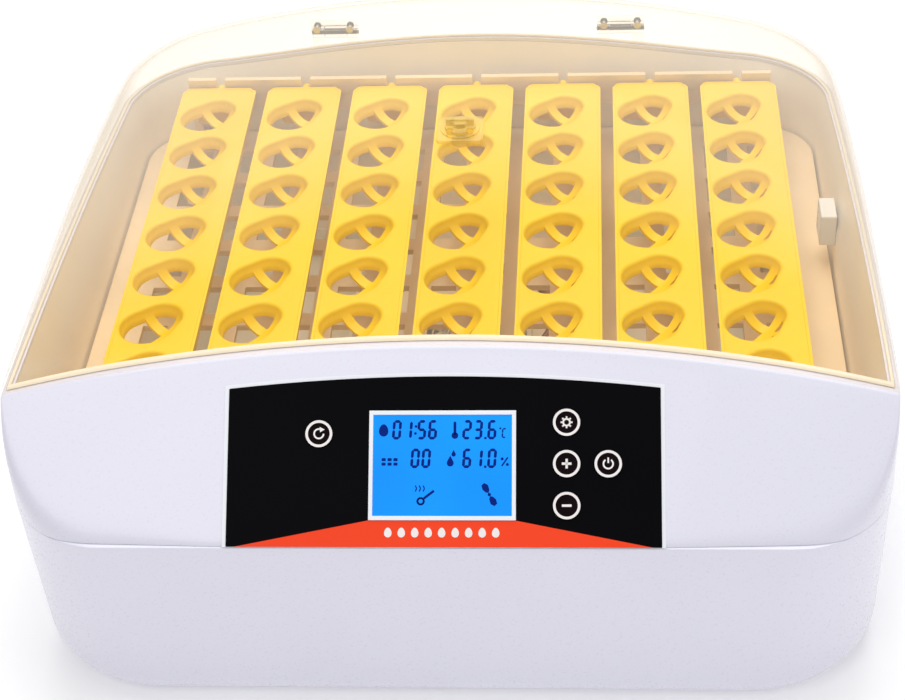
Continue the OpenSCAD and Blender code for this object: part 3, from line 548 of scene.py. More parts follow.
def make_upper_ring():
    columns = [riser_heights(s) for s in SPOTS]
    count = len(columns[0][0])
    rim_round = 1.0
    outer = []
    for k in range(count):
        ring = []
        for spot, (heights, top) in zip(SPOTS, columns):
            z = min(heights[k], top - rim_round)
            ring.append(wall_point(spot, 0, z))
        outer.append(ring)
    edge = []
    for turn in (30, 60, 90):
        a = math.radians(turn)
        edge.append([wall_point(s, rim_round * (1 - math.cos(a)), top - rim_round * (1 - math.sin(a)))
                     for s, (_, top) in zip(SPOTS, columns)])
    flange = [[wall_point(s, FLANGE_W, top - drop) for s, (_, top) in zip(SPOTS, columns)]
              for drop in (0, FLANGE_T)]
    between = [[a.lerp(b, t) for a, b in zip(edge[-1], flange[0])] for t in (0.3, 0.6, 0.97)]
    inner = [[wall_point(s, WALL, lerp(FACET_Z, top - FLANGE_T, t)) for s, (_, top) in zip(SPOTS, columns)]
             for t in (1, 0.8, 0.6, 0.4, 0.2, 0)]
    bm = bmesh.new()
    add_rings(bm, outer + edge + between + flange + inner, wrap=True)
    obj = new_piece("upper_ring", finish_mesh(bm, "upper_ring"), "base", WHITE)
    holes = bmesh.new()
    add_prism(holes, rounded_rectangle(LCD_SIZE[0] + 1, LCD_SIZE[1] + 1, 0.5, DISPLAY_MID), -8, 8, FACET)
    for place in BUTTONS.values():
        add_prism(holes, circle_points(BUTTON_HOLE_R, 64, place), -8, 8, FACET)
    cut_away(obj, finish_mesh(holes, "facet_holes"))
    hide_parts("upper_housing")


def make_liner():
    def ring(inset, z):
        draw = lerp(LINER_DRAW, 0, part_of(z, LINER_Z, TAPER_TOP))
        return [(*liner_point(s, inset, draw), z) for s in SPOTS]

    def top(inset):
        return [wall_point(s, FLANGE_W - LINER_T + inset, spot_rim(s) - FLANGE_T - 0.3) for s in SPOTS]

    floor = LINER_Z + LINER_T
    fillet = quarter(8, 8, 5)
    outer = [ring(4 * inset / 8, LINER_Z + up / 2) for inset, up in fillet]
    sides = [ring(0, z) for z in (50, 72, TAPER_TOP, UPRIGHT_TOP)]
    inner_sides = [ring(LINER_T, z) for z in (UPRIGHT_TOP, TAPER_TOP, 72, 50)]
    inner = [ring(LINER_T + inset, floor + up) for inset, up in reversed(fillet)]
    bm = bmesh.new()
    made = add_rings(bm, outer + sides + [top(0), top(LINER_T)] + inner_sides + inner)
    add_cap(bm, made[0][::-1], (0, 0, LINER_Z))
    add_cap(bm, made[-1], (0, 0, floor))
    obj = new_piece("inner_tub", finish_mesh(bm, "inner_tub"), "base", CREAM)
    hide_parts("inner_liner")


def lid_column(spot, skin):
    """Points up one column of the lid, from its foot over the shoulder to the crown."""
    rim = spot_rim(spot)
    foot_z = rim + LID_GAP
    r = max(1.2, shoulder_r(max(housing_point(spot, 0, CORNER_R).y, facet_y(rim))) - skin)
    shoulder = []
    for turn in range(0, 91, 9):
        a = math.radians(turn)
        inset = skin + r * (1 - math.cos(a))
        drop = skin + r * (1 - math.sin(a))
        p = housing_point(spot, inset, CORNER_R)
        run = FACET_RUN * lerp(1, 0.8, min(1, turn / 30))
        y = soft_max(p.y, facet_y(lid_z(p.x, p.y) - drop) + inset * run, 2.5)
        shoulder.append(Vector((p.x, y, lid_z(p.x, y) - drop)))
    foot = Vector((*wall_point(spot, skin, foot_z).xy, foot_z))
    wall = [foot] + [foot.lerp(shoulder[0], t) for t in (0.06, 0.35, 0.7)]
    edge = shoulder[-1]
    top = []
    for s in (0.975, 0.94, 0.9, 0.84, 0.77, 0.69, 0.6, 0.51, 0.42, 0.33, 0.24, 0.15, 0.07):
        x, y = edge.x * s, lerp(CROWN_Y, edge.y, s)
        top.append(Vector((x, y, lid_z(x, y) - skin)))
    return wall + shoulder + top


def vent_holes():
    """Cutters for the knob's stem and the four air holes round it."""
    stem_r, hole_r, hole_at = 3.5, 2.25, 8.5
    bm = bmesh.new()
    place = Matrix.Translation((0, CROWN_Y, 0))
    add_prism(bm, circle_points(stem_r, 32), CROWN_Z - 8, CROWN_Z + 8, place)
    for k in range(4):
        a = math.radians(45 + 90 * k)
        centre = (hole_at * math.cos(a), hole_at * math.sin(a))
        add_prism(bm, circle_points(hole_r, 24, centre), CROWN_Z - 8, CROWN_Z + 8, place)
    return finish_mesh(bm, "vent_holes")


def make_lid():
    outer = [list(ring) for ring in zip(*(lid_column(s, 0) for s in SPOTS))]
    inner = [list(ring) for ring in zip(*(lid_column(s, LID_WALL) for s in SPOTS))]
    bm = bmesh.new()
    made = add_rings(bm, inner[::-1] + outer)
    add_cap(bm, made[0][::-1], (0, CROWN_Y, CROWN_Z - LID_WALL))
    add_cap(bm, made[-1], (0, CROWN_Y, CROWN_Z))
    obj = new_piece("clear_lid", finish_mesh(bm, "clear_lid"), "lid", CLEAR)
    cut_away(obj, vent_holes())
    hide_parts("lid_shell")


def make_gasket():
    def strip(inset, lift):
        return [wall_point(s, inset, spot_rim(s) + lift) for s in SPOTS]

    near, far = LID_WALL + 0.2, LID_WALL + 2
    profile = [(near, 0.5), (near, 1.4), (near + 0.3, 1.7), (far - 0.3, 1.7), (far, 1.4), (far, 0.5)]
    bm = bmesh.new()
    add_rings(bm, [strip(inset, lift) for inset, lift in profile], wrap=True)
    obj = new_piece("lid_seal", finish_mesh(bm, "lid_seal"), "lid", GASKET)
    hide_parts("lid_gasket")


# ---------- egg trays ----------
CUP_RAYS = 96


def egg_radius(grow, angle):
    """How far the egg outline, grown by `grow`, lies from the cup's middle in one direction."""
    along = angle - CUP_LEAN
    ray = Vector((math.cos(along), math.sin(along)))
    best = 0
    for centre_x, r in ((-CUP_REACH / 2, CUP_BIG + grow), (CUP_REACH / 2, CUP_SMALL + grow)):
        ahead = ray.x * centre_x
        inside = r * r - centre_x * centre_x + ahead * ahead
        if inside > 0:
            best = max(best, ahead + math.sqrt(inside))
    swing = math.acos((CUP_BIG - CUP_SMALL) / CUP_REACH)
    normal = Vector((math.cos(swing), math.sin(swing) * (1 if ray.y >= 0 else -1)))
    reach = (CUP_BIG + grow) + normal.x * (-CUP_REACH / 2)
    facing = ray.dot(normal)
    if facing > 1e-6:
        distance = reach / facing
        touch_big = -CUP_REACH / 2 + (CUP_BIG + grow) * normal.x
        touch_small = CUP_REACH / 2 + (CUP_SMALL + grow) * normal.x
        if touch_big <= distance * ray.x <= touch_small:
            best = max(best, distance)
    return best


def cell_edge(angle, half_w_left, half_w_right, half_h):
    """Where a ray from the cup's middle leaves its rectangular cell."""
    c, s = math.cos(angle), math.sin(angle)
    limits = []
    if abs(c) > 1e-9:
        limits.append((half_w_right if c > 0 else half_w_left) / abs(c))
    if abs(s) > 1e-9:
        limits.append(half_h / abs(s))
    return Vector((c, s)) * min(limits)


# the cup's section: how far each ring has grown past the outline, and its depth
CUP_SECTION = ((2.2, 0), (1.4, 0.12), (0.7, 0.5), (0.2, 1.2), (0, 2.0), (-0.25, 3.2), (-0.9, 4.8), (-2, 6.6),
               (-3.6, 8.4), (-5.6, 10), (-7.6, 11.1))
TRAY_CORNER_R = 6


def cup_y(number):
    """The middle of a cup along its tray, counted from the front."""
    return CUPS_MIDDLE_Y + (number - (CUPS - 1) / 2) * CUP_PITCH


def add_tray_skin(bm):
    """The tray's top, its cups and its skirts as one open skin."""
    half = TRAY_W / 2
    left, right = half + CUP_X, half - CUP_X
    angles = [2 * math.pi * k / CUP_RAYS for k in range(CUP_RAYS)]
    edges = [cell_edge(a, left, right, CUP_PITCH / 2) for a in angles]
    for sx, sy in ((left * -1, 1), (right, 1), (left * -1, -1), (right, -1)):
        corner = Vector((sx, sy * CUP_PITCH / 2))
        nearest = min(range(CUP_RAYS), key=lambda k: (edges[k] - corner).length)
        edges[nearest] = corner
    for j in range(CUPS):
        y0 = cup_y(j)
        rings = [[(CUP_X + e.x, y0 + e.y, TRAY_Z) for e in edges]]
        for grow, depth in CUP_SECTION:
            rings.append([(CUP_X + egg_radius(grow, a) * math.cos(a), y0 + egg_radius(grow, a) * math.sin(a),
                           TRAY_Z - depth) for a in angles])
        for share, depth in ((0.66, 12.1), (0.5, 12.8)):
            rings.append([(lerp(CUP_X, p[0], share), lerp(y0, p[1], share), TRAY_Z - depth)
                          for p in rings[-1]])
        made = add_rings(bm, rings)
        add_cap(bm, made[-1], (CUP_X, y0, TRAY_Z - 13))
    first = CUPS_MIDDLE_Y - CUPS / 2 * CUP_PITCH
    last = CUPS_MIDDLE_Y + CUPS / 2 * CUP_PITCH
    for cell_y, end_y in ((last, TRAY_REAR), (first, TRAY_FRONT)):
        toward = 1 if end_y > cell_y else -1
        across = sorted({round(CUP_X + e.x, 4) for e in edges if abs(toward * e.y - CUP_PITCH / 2) < 1e-4})
        rows = []
        for x in across:
            past = max(0, abs(x) - (half - TRAY_CORNER_R))
            pull = TRAY_CORNER_R - math.sqrt(max(0, TRAY_CORNER_R ** 2 - past ** 2))
            rows.append([bm.verts.new((x, lerp(cell_y, end_y - toward * pull, t), TRAY_Z))
                         for t in (0, 0.5, 1)])
        for a, b in zip(rows, rows[1:]):
            for k in range(2):
                bm.faces.new((a[k], b[k], b[k + 1], a[k + 1]))
    bmesh.ops.remove_doubles(bm, verts=bm.verts, dist=0.01)
    add_skirts(bm, half)


# (how far out, how far down) for each step of the tray's outer edge
SKIRT_STEPS = ((0.0, 0.0), (-0.12, 0.45), (-0.5, 1.1), (-0.7, 4), (-1.9, 11))


def add_skirts(bm, half):
    rim = [e for e in bm.edges if len(e.link_faces) == 1]
    centre_y = (TRAY_REAR + TRAY_FRONT) / 2
    long_half = (TRAY_REAR - TRAY_FRONT) / 2
    before = (0, 0)
    for out, down in SKIRT_STEPS[1:]:
        grown = bmesh.ops.extrude_edge_only(bm, edges=rim)["geom"]
        verts = [v for v in grown if isinstance(v, bmesh.types.BMVert)]
        rim = [e for e in grown if isinstance(e, bmesh.types.BMEdge)]
        for v in verts:
            v.co.x *= 1 + (out - before[0]) / half
            v.co.y = centre_y + (v.co.y - centre_y) * (1 + (out - before[0]) / long_half)
            v.co.z -= down - before[1]
        before = (out, down)


# openings in a cup's bowl: lowest and highest corner, along and across the egg's axis,
# cut off by the egg outline
CUP_OPENINGS = (((-30, -1), (3, 30)), ((9, -1.5), (30, 30)), ((-30, -30), (0.5, -9.5)),
                ((4.5, -30), (12.5, -8)))
OPENING_INSET = 1.6


def clip_outline(points, normal, limit):
    """The part of a convex outline where the point's distance along `normal` is at most `limit`."""
    kept = []
    for i, here in enumerate(points):
        there = points[(i + 1) % len(points)]
        a, b = here.dot(normal) - limit, there.dot(normal) - limit
        if a <= 0:
            kept.append(here)
        if a * b < 0:
            kept.append(here.lerp(there, a / (a - b)))
    return kept


def opening_outline(low, high):
    rays = [2 * math.pi * k / 72 for k in range(72)]
    points = [Vector((math.cos(a), math.sin(a))) * egg_radius(-OPENING_INSET, a + CUP_LEAN) for a in rays]
    for axis in (0, 1):
        normal = Vector((1 - axis, axis))
        points = clip_outline(points, normal, high[axis])
        points = clip_outline(points, -normal, -low[axis])
    return points


def make_openings():
    bm = bmesh.new()
    lean = Matrix.Rotation(CUP_LEAN, 4, "Z")
    for j in range(CUPS):
        place = Matrix.Translation((CUP_X, cup_y(j), 0)) @ lean
        for low, high in CUP_OPENINGS:
            add_prism(bm, opening_outline(low, high), TRAY_Z - 20, TRAY_Z - 3.2, place)
    return finish_mesh(bm, "cup_openings")


def end_plate(bm, y_low, y_high):
    half, foot = TRAY_W / 2 - 0.6, 17
    outline = [(-half, TRAY_Z - 1), (half, TRAY_Z - 1), (half - TRAY_SKIN, TRAY_Z - 11),
               (foot, TRAY_Z - TRAY_DEPTH), (-foot, TRAY_Z - TRAY_DEPTH), (TRAY_SKIN - half, TRAY_Z - 11)]
    # stands the plan outline up so that its second coordinate is height
    place = Matrix.Translation((0, y_high, 0)) @ Matrix.Rotation(math.radians(90), 4, "X")
    add_prism(bm, outline, 0, y_high - y_low, place, bevel=0.7)


def stub(bm, r, y, toward, z):
    place = Matrix.Translation((0, y, z)) @ Matrix.Rotation(math.radians(-90 * toward), 4, "X")
    chamfer = 0.5
    profile = [(0, -1), (r, -1), (r, STUB_OUT - chamfer), (r - chamfer, STUB_OUT), (0, STUB_OUT)]
    add_turned(bm, profile, place, steps=40)


def make_trays():
    skin = bmesh.new()
    add_tray_skin(skin)
    bmesh.ops.recalc_face_normals(skin, faces=skin.faces)
    up = sum(f.normal.z * f.calc_area() for f in skin.faces)
    if up < 0:
        bmesh.ops.reverse_faces(skin, faces=skin.faces)
    skin_mesh = finish_mesh(skin, "tray_shaper", sharp_degrees=35, outward=False)
    shaper = bpy.data.objects.new("tray_shaper", skin_mesh)
    bpy.context.scene.collection.objects.link(shaper)
    thicken = shaper.modifiers.new("thicken", "SOLIDIFY")
    thicken.thickness = TRAY_SKIN * MM
    thicken.offset = -1
    cut_away(shaper, make_openings())
    bm = bmesh.new()
    bm.from_mesh(shaper.data)
    bpy.data.objects.remove(shaper)
    bm.transform(Matrix.Scale(1 / MM, 4))
    extras = bmesh.new()
    end_plate(extras, TRAY_REAR - 3.2, TRAY_REAR - 0.7)
    end_plate(extras, TRAY_FRONT + 0.7, TRAY_FRONT + 3.2)
    stub(extras, STUB_R, TRAY_REAR - 0.5, 1, PIVOT_Z)
    stub(extras, STUB_R, TRAY_FRONT + 0.5, -1, PIVOT_Z)
    stub(extras, PIN_R, TRAY_FRONT + 0.5, -1, PIVOT_Z - DRIVE_ARM)
    merge(bm, extras)
    mesh = finish_mesh(bm, "egg_tray", sharp_degrees=35, weld=0.001)
    for number in range(1, 8):
        place = Matrix.Translation(((number - 4) * TRAY_PITCH, 0, 0))
        obj = new_piece(f"tray_{number}_body", mesh, f"tray_{number}", YELLOW, place)
        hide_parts(f"egg_tray_{number}")


# ---------- control panel ----------
def print_piece(name, outlines, low, high, material, body="base"):
    """Flat printed or moulded shapes on the facet, each a prism from `low` to `high` above it."""
    bm = bmesh.new()
    for outline in outlines:
        add_prism(bm, outline, low, high)
    return new_piece(name, finish_mesh(bm, name), body, material, FACET)


def annulus(bm, outer, inner, low, high, centre=(0, 0), start=0, sweep=360, steps=48):
    """A flat ring, or part of one, as a closed solid."""
    closed = sweep >= 360
    count = steps if closed else steps + 1
    columns = []
    for k in range(count):
        a = math.radians(start + sweep * k / steps)
        c, s = math.cos(a), math.sin(a)
        columns.append([bm.verts.new((centre[0] + r * c, centre[1] + r * s, z))
                        for r, z in ((inner, low), (outer, low), (outer, high), (inner, high))])
    pairs = list(zip(columns, columns[1:])) + ([(columns[-1], columns[0])] if closed else [])
    for a, b in pairs:
        for i in range(4):
            j = (i + 1) % 4
            bm.faces.new((a[i], a[j], b[j], b[i]))
    if not closed:
        bm.faces.new(columns[0])
        bm.faces.new(columns[-1][::-1])


def bar_outline(a, b, width):
    """A straight stroke between two points."""
    a, b = Vector(a), Vector(b)
    side = (b - a).orthogonal().normalized() * width / 2
    return [tuple(a + side), tuple(a - side), tuple(b - side), tuple(b + side)]


SEGMENTS = {"0": "abcdef", "1": "bc", "2": "abged", "3": "abgcd", "4": "fgbc", "5": "afgcd", "6": "afgcde",
            "7": "abc", "8": "abcdefg", "9": "abcdfg", "C": "afed"}


def digit_outlines(character, x, y, height, slant=0.07):
    """Seven-segment strokes of one character with its lower left corner at (x, y)."""
    w, h, t = height * 0.37, height, height * 0.165
    gap = t * 0.04
    ends = {"a": ((0, h), (w, h)), "b": ((w, h), (w, h / 2)), "c": ((w, h / 2), (w, 0)),
            "d": ((0, 0), (w, 0)), "e": ((0, 0), (0, h / 2)), "f": ((0, h / 2), (0, h)),
            "g": ((0, h / 2), (w, h / 2))}
    shapes = []
    for letter in SEGMENTS[character]:
        (x0, y0), (x1, y1) = ends[letter]
        p, q = Vector((x0, y0)), Vector((x1, y1))
        along = (q - p).normalized()
        side = along.orthogonal() * t / 2
        p, q = p + along * gap, q - along * gap
        nose = along * t / 2
        hexagon = [p, p + nose + side, q - nose + side, q, q - nose - side, p + nose - side]
        shapes.append([(x + v.x + v.y * slant, y + v.y) for v in hexagon])
    return shapes


def egg_icon(x, y, height):
    points = []
    for k in range(32):
        a = 2 * math.pi * k / 32
        narrow = 1 - 0.16 * math.sin(a)
        points.append((x + height * 0.38 * math.cos(a) * narrow, y + height / 2 * math.sin(a)))
    return points


def drop_icon(x, y, height):
    r = height * 0.32
    points = [(x + r * math.cos(math.radians(t)), y + r * math.sin(math.radians(t)))
              for t in range(-205, 26, 11)]
    return points + [(x, y + height * 0.68)]


def display_outlines():
    """Everything the display shows, in the facet's frame."""
    left = DISPLAY_MID[0] - LCD_SIZE[0] / 2
    low = DISPLAY_MID[1] - LCD_SIZE[1] / 2
    tall, digit_step, dot_step = 9.0, 5.9, 1.6
    shapes = []

    def number(text, x, y):
        for character in text:
            if character in ":.":
                size = tall * 0.14
                for share in ((0.28, 0.70) if character == ":" else (0.0,)):
                    dot = (x + share * 0.6, y + share * tall)
                    shapes.append(rounded_rectangle(size, size, size * 0.2, dot))
                x += dot_step
            else:
                shapes.extend(digit_outlines(character, x, y, tall))
                x += digit_step

    row_1, row_2, row_3 = low + 41.8, low + 26.4, low + 5.5
    shapes.append(egg_icon(left + 5.6, row_1 + 4.2, 6.6))
    number("01:56", left + 10.8, row_1)
    number("23.6", left + 48.6, row_1)
    shapes.extend(digit_outlines("C", left + 69.4, row_1 + 0.4, 4.6))
    shapes.append(circle_points(0.55, 14, (left + 68.4, row_1 + 5.2)))
    number("00", left + 20.8, row_2)
    number("61.0", left + 48.6, row_2)
    # thermometer
    shapes.append(circle_points(1.8, 20, (left + 44, row_1 + 1.4)))
    shapes.append(rounded_rectangle(1.5, 7.4, 0.7, (left + 44, row_1 + 5.2)))
    # drops before the humidity
    shapes.append(drop_icon(left + 41.6, row_2 + 2, 5.8))
    shapes.append(drop_icon(left + 43.4, row_2 + 6.6, 3.6))
    # percent mark
    shapes.append(bar_outline((left + 69.2, row_2 + 0.4), (left + 72.4, row_2 + 5), 0.8))
    shapes.append(circle_points(0.8, 16, (left + 69.4, row_2 + 4.2)))
    shapes.append(circle_points(0.8, 16, (left + 72.2, row_2 + 1.2)))
    # a calendar leaf before the day count
    for k in range(3):
        shapes.append(rounded_rectangle(2.2, 1.6, 0.3, (left + 5.8 + 3.2 * k, row_2 + 1.4)))
        shapes.append(rounded_rectangle(2.2, 1.6, 0.3, (left + 5.8 + 3.2 * k, row_2 + 3.8)))
    # heating: an element's coil on its lead, with warmth rising beside it
    for turn in range(10):
        a, b = (math.radians(36 * t) for t in (turn, turn + 1))
        shapes.append([(left + 25.9 + r * math.cos(t), row_3 + 2.4 + r * math.sin(t))
                       for r, t in ((1.2, a), (2.3, a), (2.3, b), (1.2, b))])
    shapes.append(bar_outline((left + 27.6, row_3 + 3.9), (left + 33, row_3 + 8), 1.3))
    for k in range(3):
        wave_x = left + 23 + 2.1 * k
        shapes.append(bar_outline((wave_x, row_3 + 7.6), (wave_x + 0.7, row_3 + 9.2), 0.6))
        shapes.append(bar_outline((wave_x + 0.7, row_3 + 9.2), (wave_x, row_3 + 10.8), 0.6))
    # fan: two blades on a hub
    fan_x, fan_y = left + 62.6, row_3 + 6
    shapes.append(circle_points(0.9, 20, (fan_x, fan_y)))
    for turn in (0, math.pi):
        blade = [(0.9, -0.3), (2.2, -1.6), (4.6, -2.4), (6.6, -1.4), (6.4, 0.6), (4.2, 1.4), (2, 0.9)]
        c, s = math.cos(turn + 2.2), math.sin(turn + 2.2)
        shapes.append([(fan_x + x * c - y * s, fan_y + x * s + y * c) for x, y in blade])
    return shapes


def button_marks(name):
    """The printed sign on one button, about its middle."""
    if name == "plus":
        return [rounded_rectangle(5.2, 1.3, 0.2), rounded_rectangle(1.3, 5.2, 0.2)]
    if name == "minus":
        return [rounded_rectangle(5.2, 1.3, 0.2)]
    if name == "set":
        teeth = []
        for k in range(8):
            ray = Vector((math.cos(math.radians(45 * k)), math.sin(math.radians(45 * k))))
            teeth.append(bar_outline(ray * 1.9, ray * 3.2, 0.9))
        return teeth
    if name == "reset":
        a = math.radians(60)
        tip = Vector((2.5 * math.cos(a), 2.5 * math.sin(a)))
        return [[tuple(tip + Vector(offset)) for offset in ((1.9, 0.1), (-0.9, 1.5), (-0.6, -1.4))]]
    return [rounded_rectangle(0.9, 3.0, 0.2, (0, 1.9))]


def make_button(name, at):
    body = f"key_{name}"
    place = FACET @ Matrix.Translation((at[0], at[1], 0))
    r = BUTTON_D / 2
    bm = bmesh.new()
    profile = [(0, -WALL - 3), (2, -WALL - 3), (2, -WALL - 1.2), (r + 1.5, -WALL - 1.2),
               (r + 1.5, -WALL - 0.2), (r, -WALL - 0.2),
               (r, BUTTON_TOP - 0.3), (r - 0.1, BUTTON_TOP - 0.1), (r - 0.3, BUTTON_TOP),
               (r - 1.2, BUTTON_TOP), (r - 2.4, BUTTON_TOP - 0.16), (r - 4.2, BUTTON_TOP - 0.3),
               (0, BUTTON_TOP - 0.36)]
    add_turned(bm, profile, steps=64)
    cap = new_piece(f"cap_{name}", finish_mesh(bm, f"cap_{name}", 50), body, KEY, place)
    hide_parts(f"button_{name}")
    marks = bmesh.new()
    annulus(marks, r - 0.1, r - 1.5, BUTTON_TOP - 0.5, BUTTON_TOP + 0.04)
    for outline in button_marks(name):
        add_prism(marks, outline, SIGN_LOW, SIGN_HIGH)
    if name == "set":
        annulus(marks, 2.3, 1.3, SIGN_LOW, SIGN_HIGH)
    if name == "reset":
        annulus(marks, 3.0, 2.1, SIGN_LOW, SIGN_HIGH, start=75, sweep=285)
    if name == "power":
        annulus(marks, 3.0, 2.1, SIGN_LOW, SIGN_HIGH, start=125, sweep=290)
    printed = new_piece(f"marks_{name}", finish_mesh(marks, f"marks_{name}"), body, PRINT, place)


def overlay_outline():
    """The panel film: straight sides and foot, and an arched top."""
    arc_r = ((PANEL_W / 2) ** 2 + PANEL_SAG ** 2) / (2 * PANEL_SAG)
    half_angle = math.asin(PANEL_W / 2 / arc_r)
    top = [(arc_r * math.sin(a), PANEL_H + PANEL_LOW - arc_r + arc_r * math.cos(a))
           for a in (half_angle * (1 - 2 * k / 60) for k in range(61))]
    return top + [(-PANEL_W / 2, PANEL_LOW), (PANEL_W / 2, PANEL_LOW)]


def make_overlay():
    bm = bmesh.new()
    add_prism(bm, overlay_outline(), 0.02, OVERLAY_T, bevel=0.3)
    obj = new_piece("panel_film", finish_mesh(bm, "panel_film"), "base", PANEL, FACET)
    holes = bmesh.new()
    add_prism(holes, rounded_rectangle(LCD_SIZE[0] + 0.4, LCD_SIZE[1] + 0.4, 0.4, DISPLAY_MID), -3, 4)
    for at in BUTTONS.values():
        add_prism(holes, circle_points(BUTTON_HOLE_R, 64, at), -3, 4)
    cut_away(obj, finish_mesh(holes, "film_holes"), FACET)
    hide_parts("panel_overlay")
    # a thin light frame just wider than the film: a painted highlight standing in for the light that the
    # panel's edge catches
    edge = bmesh.new()
    wider, taller, middle = 1.018, 1.04, 44
    grown = [(x * wider, max(PANEL_LOW - 0.3, middle + (y - middle) * taller)) for x, y in overlay_outline()]
    add_prism(edge, grown, 0.02, 0.45, bevel=0.1)
    rim = new_piece("painted_highlight_edge", finish_mesh(edge, "painted_highlight_edge"), "base", BEZEL, FACET)
    hollow = bmesh.new()
    add_prism(hollow, overlay_outline(), -3, 4)
    cut_away(rim, finish_mesh(hollow, "edge_hollow"), FACET)


def make_panel():
    make_overlay()
    display = print_piece("display_marks", display_outlines(), OVERLAY_T + 0.25, OVERLAY_T + 0.38, INK)
    # a row of small eggs decorates the accent band
    eggs = [egg_icon(DISPLAY_MID[0] + (k - 4) * 7.2, 8.2, 5.2) for k in range(9)]
    row = print_piece("band_marks", eggs, OVERLAY_T + 0.2, OVERLAY_T + 0.36, PRINT)
    for name, at in BUTTONS.items():
        make_button(name, at)


# ---------- power inlet contacts ----------
def make_contacts():
    bm = bmesh.new()
    for x in (-4.3, 4.3):
        profile = [(0, -13), (1.15, -13), (1.15, -4.2), (0.8, -3.4), (0, -3.1)]
        add_turned(bm, profile, Matrix.Translation((x, 0, 0)), steps=24)
    obj = new_piece("inlet_contacts", finish_mesh(bm, "inlet_contacts"), "base", BRASS, inlet_place())


# ---------- finishes of the CAD nodes that stay ----------
FINISHES = {
    # the fan's frame and impeller take this light white instead of black: painted light that lifts the shade
    # seen through the floor grid's slots
    PART_WHITE: ["front_rail", "drive_bar", "drive_pinion", "water_trough_left", "water_trough_right",
                 "fan_frame", "fan_impeller", "sensor_pod"],
    CREAM: ["heater_brackets"],
    BEIGE: ["floor_grid", "rear_rail"],
    RUBBER: ["rubber_feet"],
    BLACK: ["power_inlet", "display_module"],
    ORANGE: ["accent_band"],
    BEZEL: ["display_bezel"],
    LCD: ["display_lcd"],
    STEEL: ["bottom_screws", "rail_screws", "turning_motor", "motor_screws", "fan_guard", "fan_screws",
            "board_screws", "hinge_pins", "hinge_screws", "lid_rivets"],
    HEATER: ["heater_ring"],
    BOARD: ["control_board", "power_board"],
    CLEAR: ["hinge_lugs_base", "hinge_lugs_lid"],
    CLEAR_TRIM: ["vent_frame", "vent_knob"],
}
# how far the edges of a CAD node are bevelled, in millimetres
EASED = {"vent_frame": 0.5, "vent_knob": 0.5, "power_inlet": 0.8, "hinge_lugs_base": 0.4,
         "hinge_lugs_lid": 0.4, "front_rail": 0.4, "rear_rail": 0.4, "drive_bar": 0.3, "sensor_pod": 0.8,
         "display_bezel": 0.2, "floor_grid": 0.6, "water_trough_left": 0.5, "water_trough_right": 0.5}
JOIN_WITHIN = 0.01
EASE_ABOVE_DEGREES = 40


def dress_nodes():
    for material, names in FINISHES.items():
        for name in names:
            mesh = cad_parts[name].data
            mesh.materials.clear()
            mesh.materials.append(material)
    for name, width in EASED.items():
        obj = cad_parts[name]
        weld = obj.modifiers.new("join", "WELD")
        weld.merge_threshold = JOIN_WITHIN * MM
        ease = obj.modifiers.new("ease", "BEVEL")
        ease.width = width * MM
        ease.segments = 2
        ease.limit_method = "ANGLE"
        ease.angle_limit = math.radians(EASE_ABOVE_DEGREES)
        ease.harden_normals = False


# ---------- studio ----------
def make_floor():
    size = 6000
    bm = bmesh.new()
    bmesh.ops.create_grid(bm, x_segments=1, y_segments=1, size=size)
    mesh = finish_mesh(bm, "floor")
    floor = bpy.data.objects.new("floor", mesh)
    bpy.context.scene.collection.objects.link(floor)
    white = moulded("floor_white", (0.93, 0.93, 0.93), roughness=0.9, relief=0, mottling=0.005)
    glow = white.node_tree.nodes["Principled BSDF"]
    glow.inputs["Emission Color"].default_value = (1, 1, 1, 1)
    glow.inputs["Emission Strength"].default_value = 0.18
    mesh.materials.append(white)


def area_light(name, at, target, width, height, power, colour=(1, 1, 1)):
    light = bpy.data.lights.new(name, "AREA")
    light.shape = "RECTANGLE"
    light.size = width * MM
    light.size_y = height * MM
    light.energy = power
    light.color = colour
    obj = bpy.data.objects.new(name, light)
    bpy.context.scene.collection.objects.link(obj)
    obj.location = Vector(at) * MM
    obj.rotation_mode = "QUATERNION"
    obj.rotation_quaternion = (Vector(target) - Vector(at)).to_track_quat("-Z", "Y")


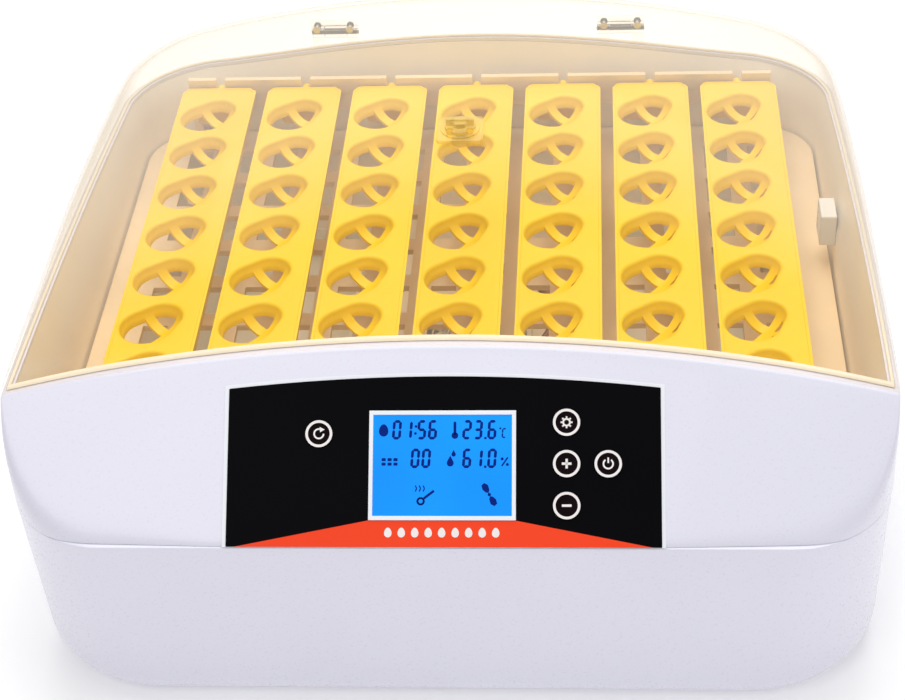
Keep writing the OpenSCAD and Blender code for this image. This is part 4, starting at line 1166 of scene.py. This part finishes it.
def make_light():
    world = bpy.data.worlds.new("studio")
    bpy.context.scene.world = world
    world.use_nodes = True
    background = world.node_tree.nodes["Background"]
    background.inputs["Color"].default_value = (1, 1, 1, 1)
    background.inputs["Strength"].default_value = 0.34
    area_light("key", (-500, -1500, 1700), (0, -50, 120), 1400, 1200, 9)
    area_light("fill", (1300, -700, 900), (0, 0, 120), 1200, 1000, 3)
    area_light("top", (0, 300, 1900), (0, 0, 150), 1600, 1600, 22)
    area_light("rear", (0, 1400, 1500), (0, 0, 140), 1600, 1100, 9)
    area_light("under_grid", (0, 10, 92), (0, 10, 0), 400, 320, 0.16, (1, 0.84, 0.60))


FRAME_WIDTH = 905           # pixels
CAMERA_FOCUS = 2051         # focal length in the same pixels
CAMERA_AT = (82, FRONT_Y - 789, 879)
CAMERA_DOWN = math.radians(38.17)
CAMERA_YAW = math.radians(5.09)
CAMERA_ROLL = math.radians(-3.39)


def make_camera():
    camera = bpy.data.cameras.new("camera")
    camera.sensor_width = 36
    camera.lens = CAMERA_FOCUS / FRAME_WIDTH * camera.sensor_width
    camera.clip_start = 0.05
    camera.clip_end = 50
    obj = bpy.data.objects.new("camera", camera)
    bpy.context.scene.collection.objects.link(obj)
    ahead = Vector((math.sin(-CAMERA_YAW) * math.cos(CAMERA_DOWN),
                    math.cos(CAMERA_YAW) * math.cos(CAMERA_DOWN), -math.sin(CAMERA_DOWN)))
    level = ahead.cross(Vector((0, 0, 1))).normalized()
    upward = level.cross(ahead)
    c, s = math.cos(CAMERA_ROLL), math.sin(CAMERA_ROLL)
    right = level * c + upward * s
    up = upward * c - level * s
    turn = Matrix((right, up, -ahead)).transposed().to_4x4()
    obj.matrix_world = Matrix.Translation(Vector(CAMERA_AT) * MM) @ turn
    bpy.context.scene.camera = obj


make_tub()
make_upper_ring()
make_liner()
make_lid()
make_gasket()
make_trays()
make_panel()
make_contacts()
dress_nodes()
make_floor()
make_light()
make_camera()
bpy.context.scene.view_settings.view_transform = "Standard"
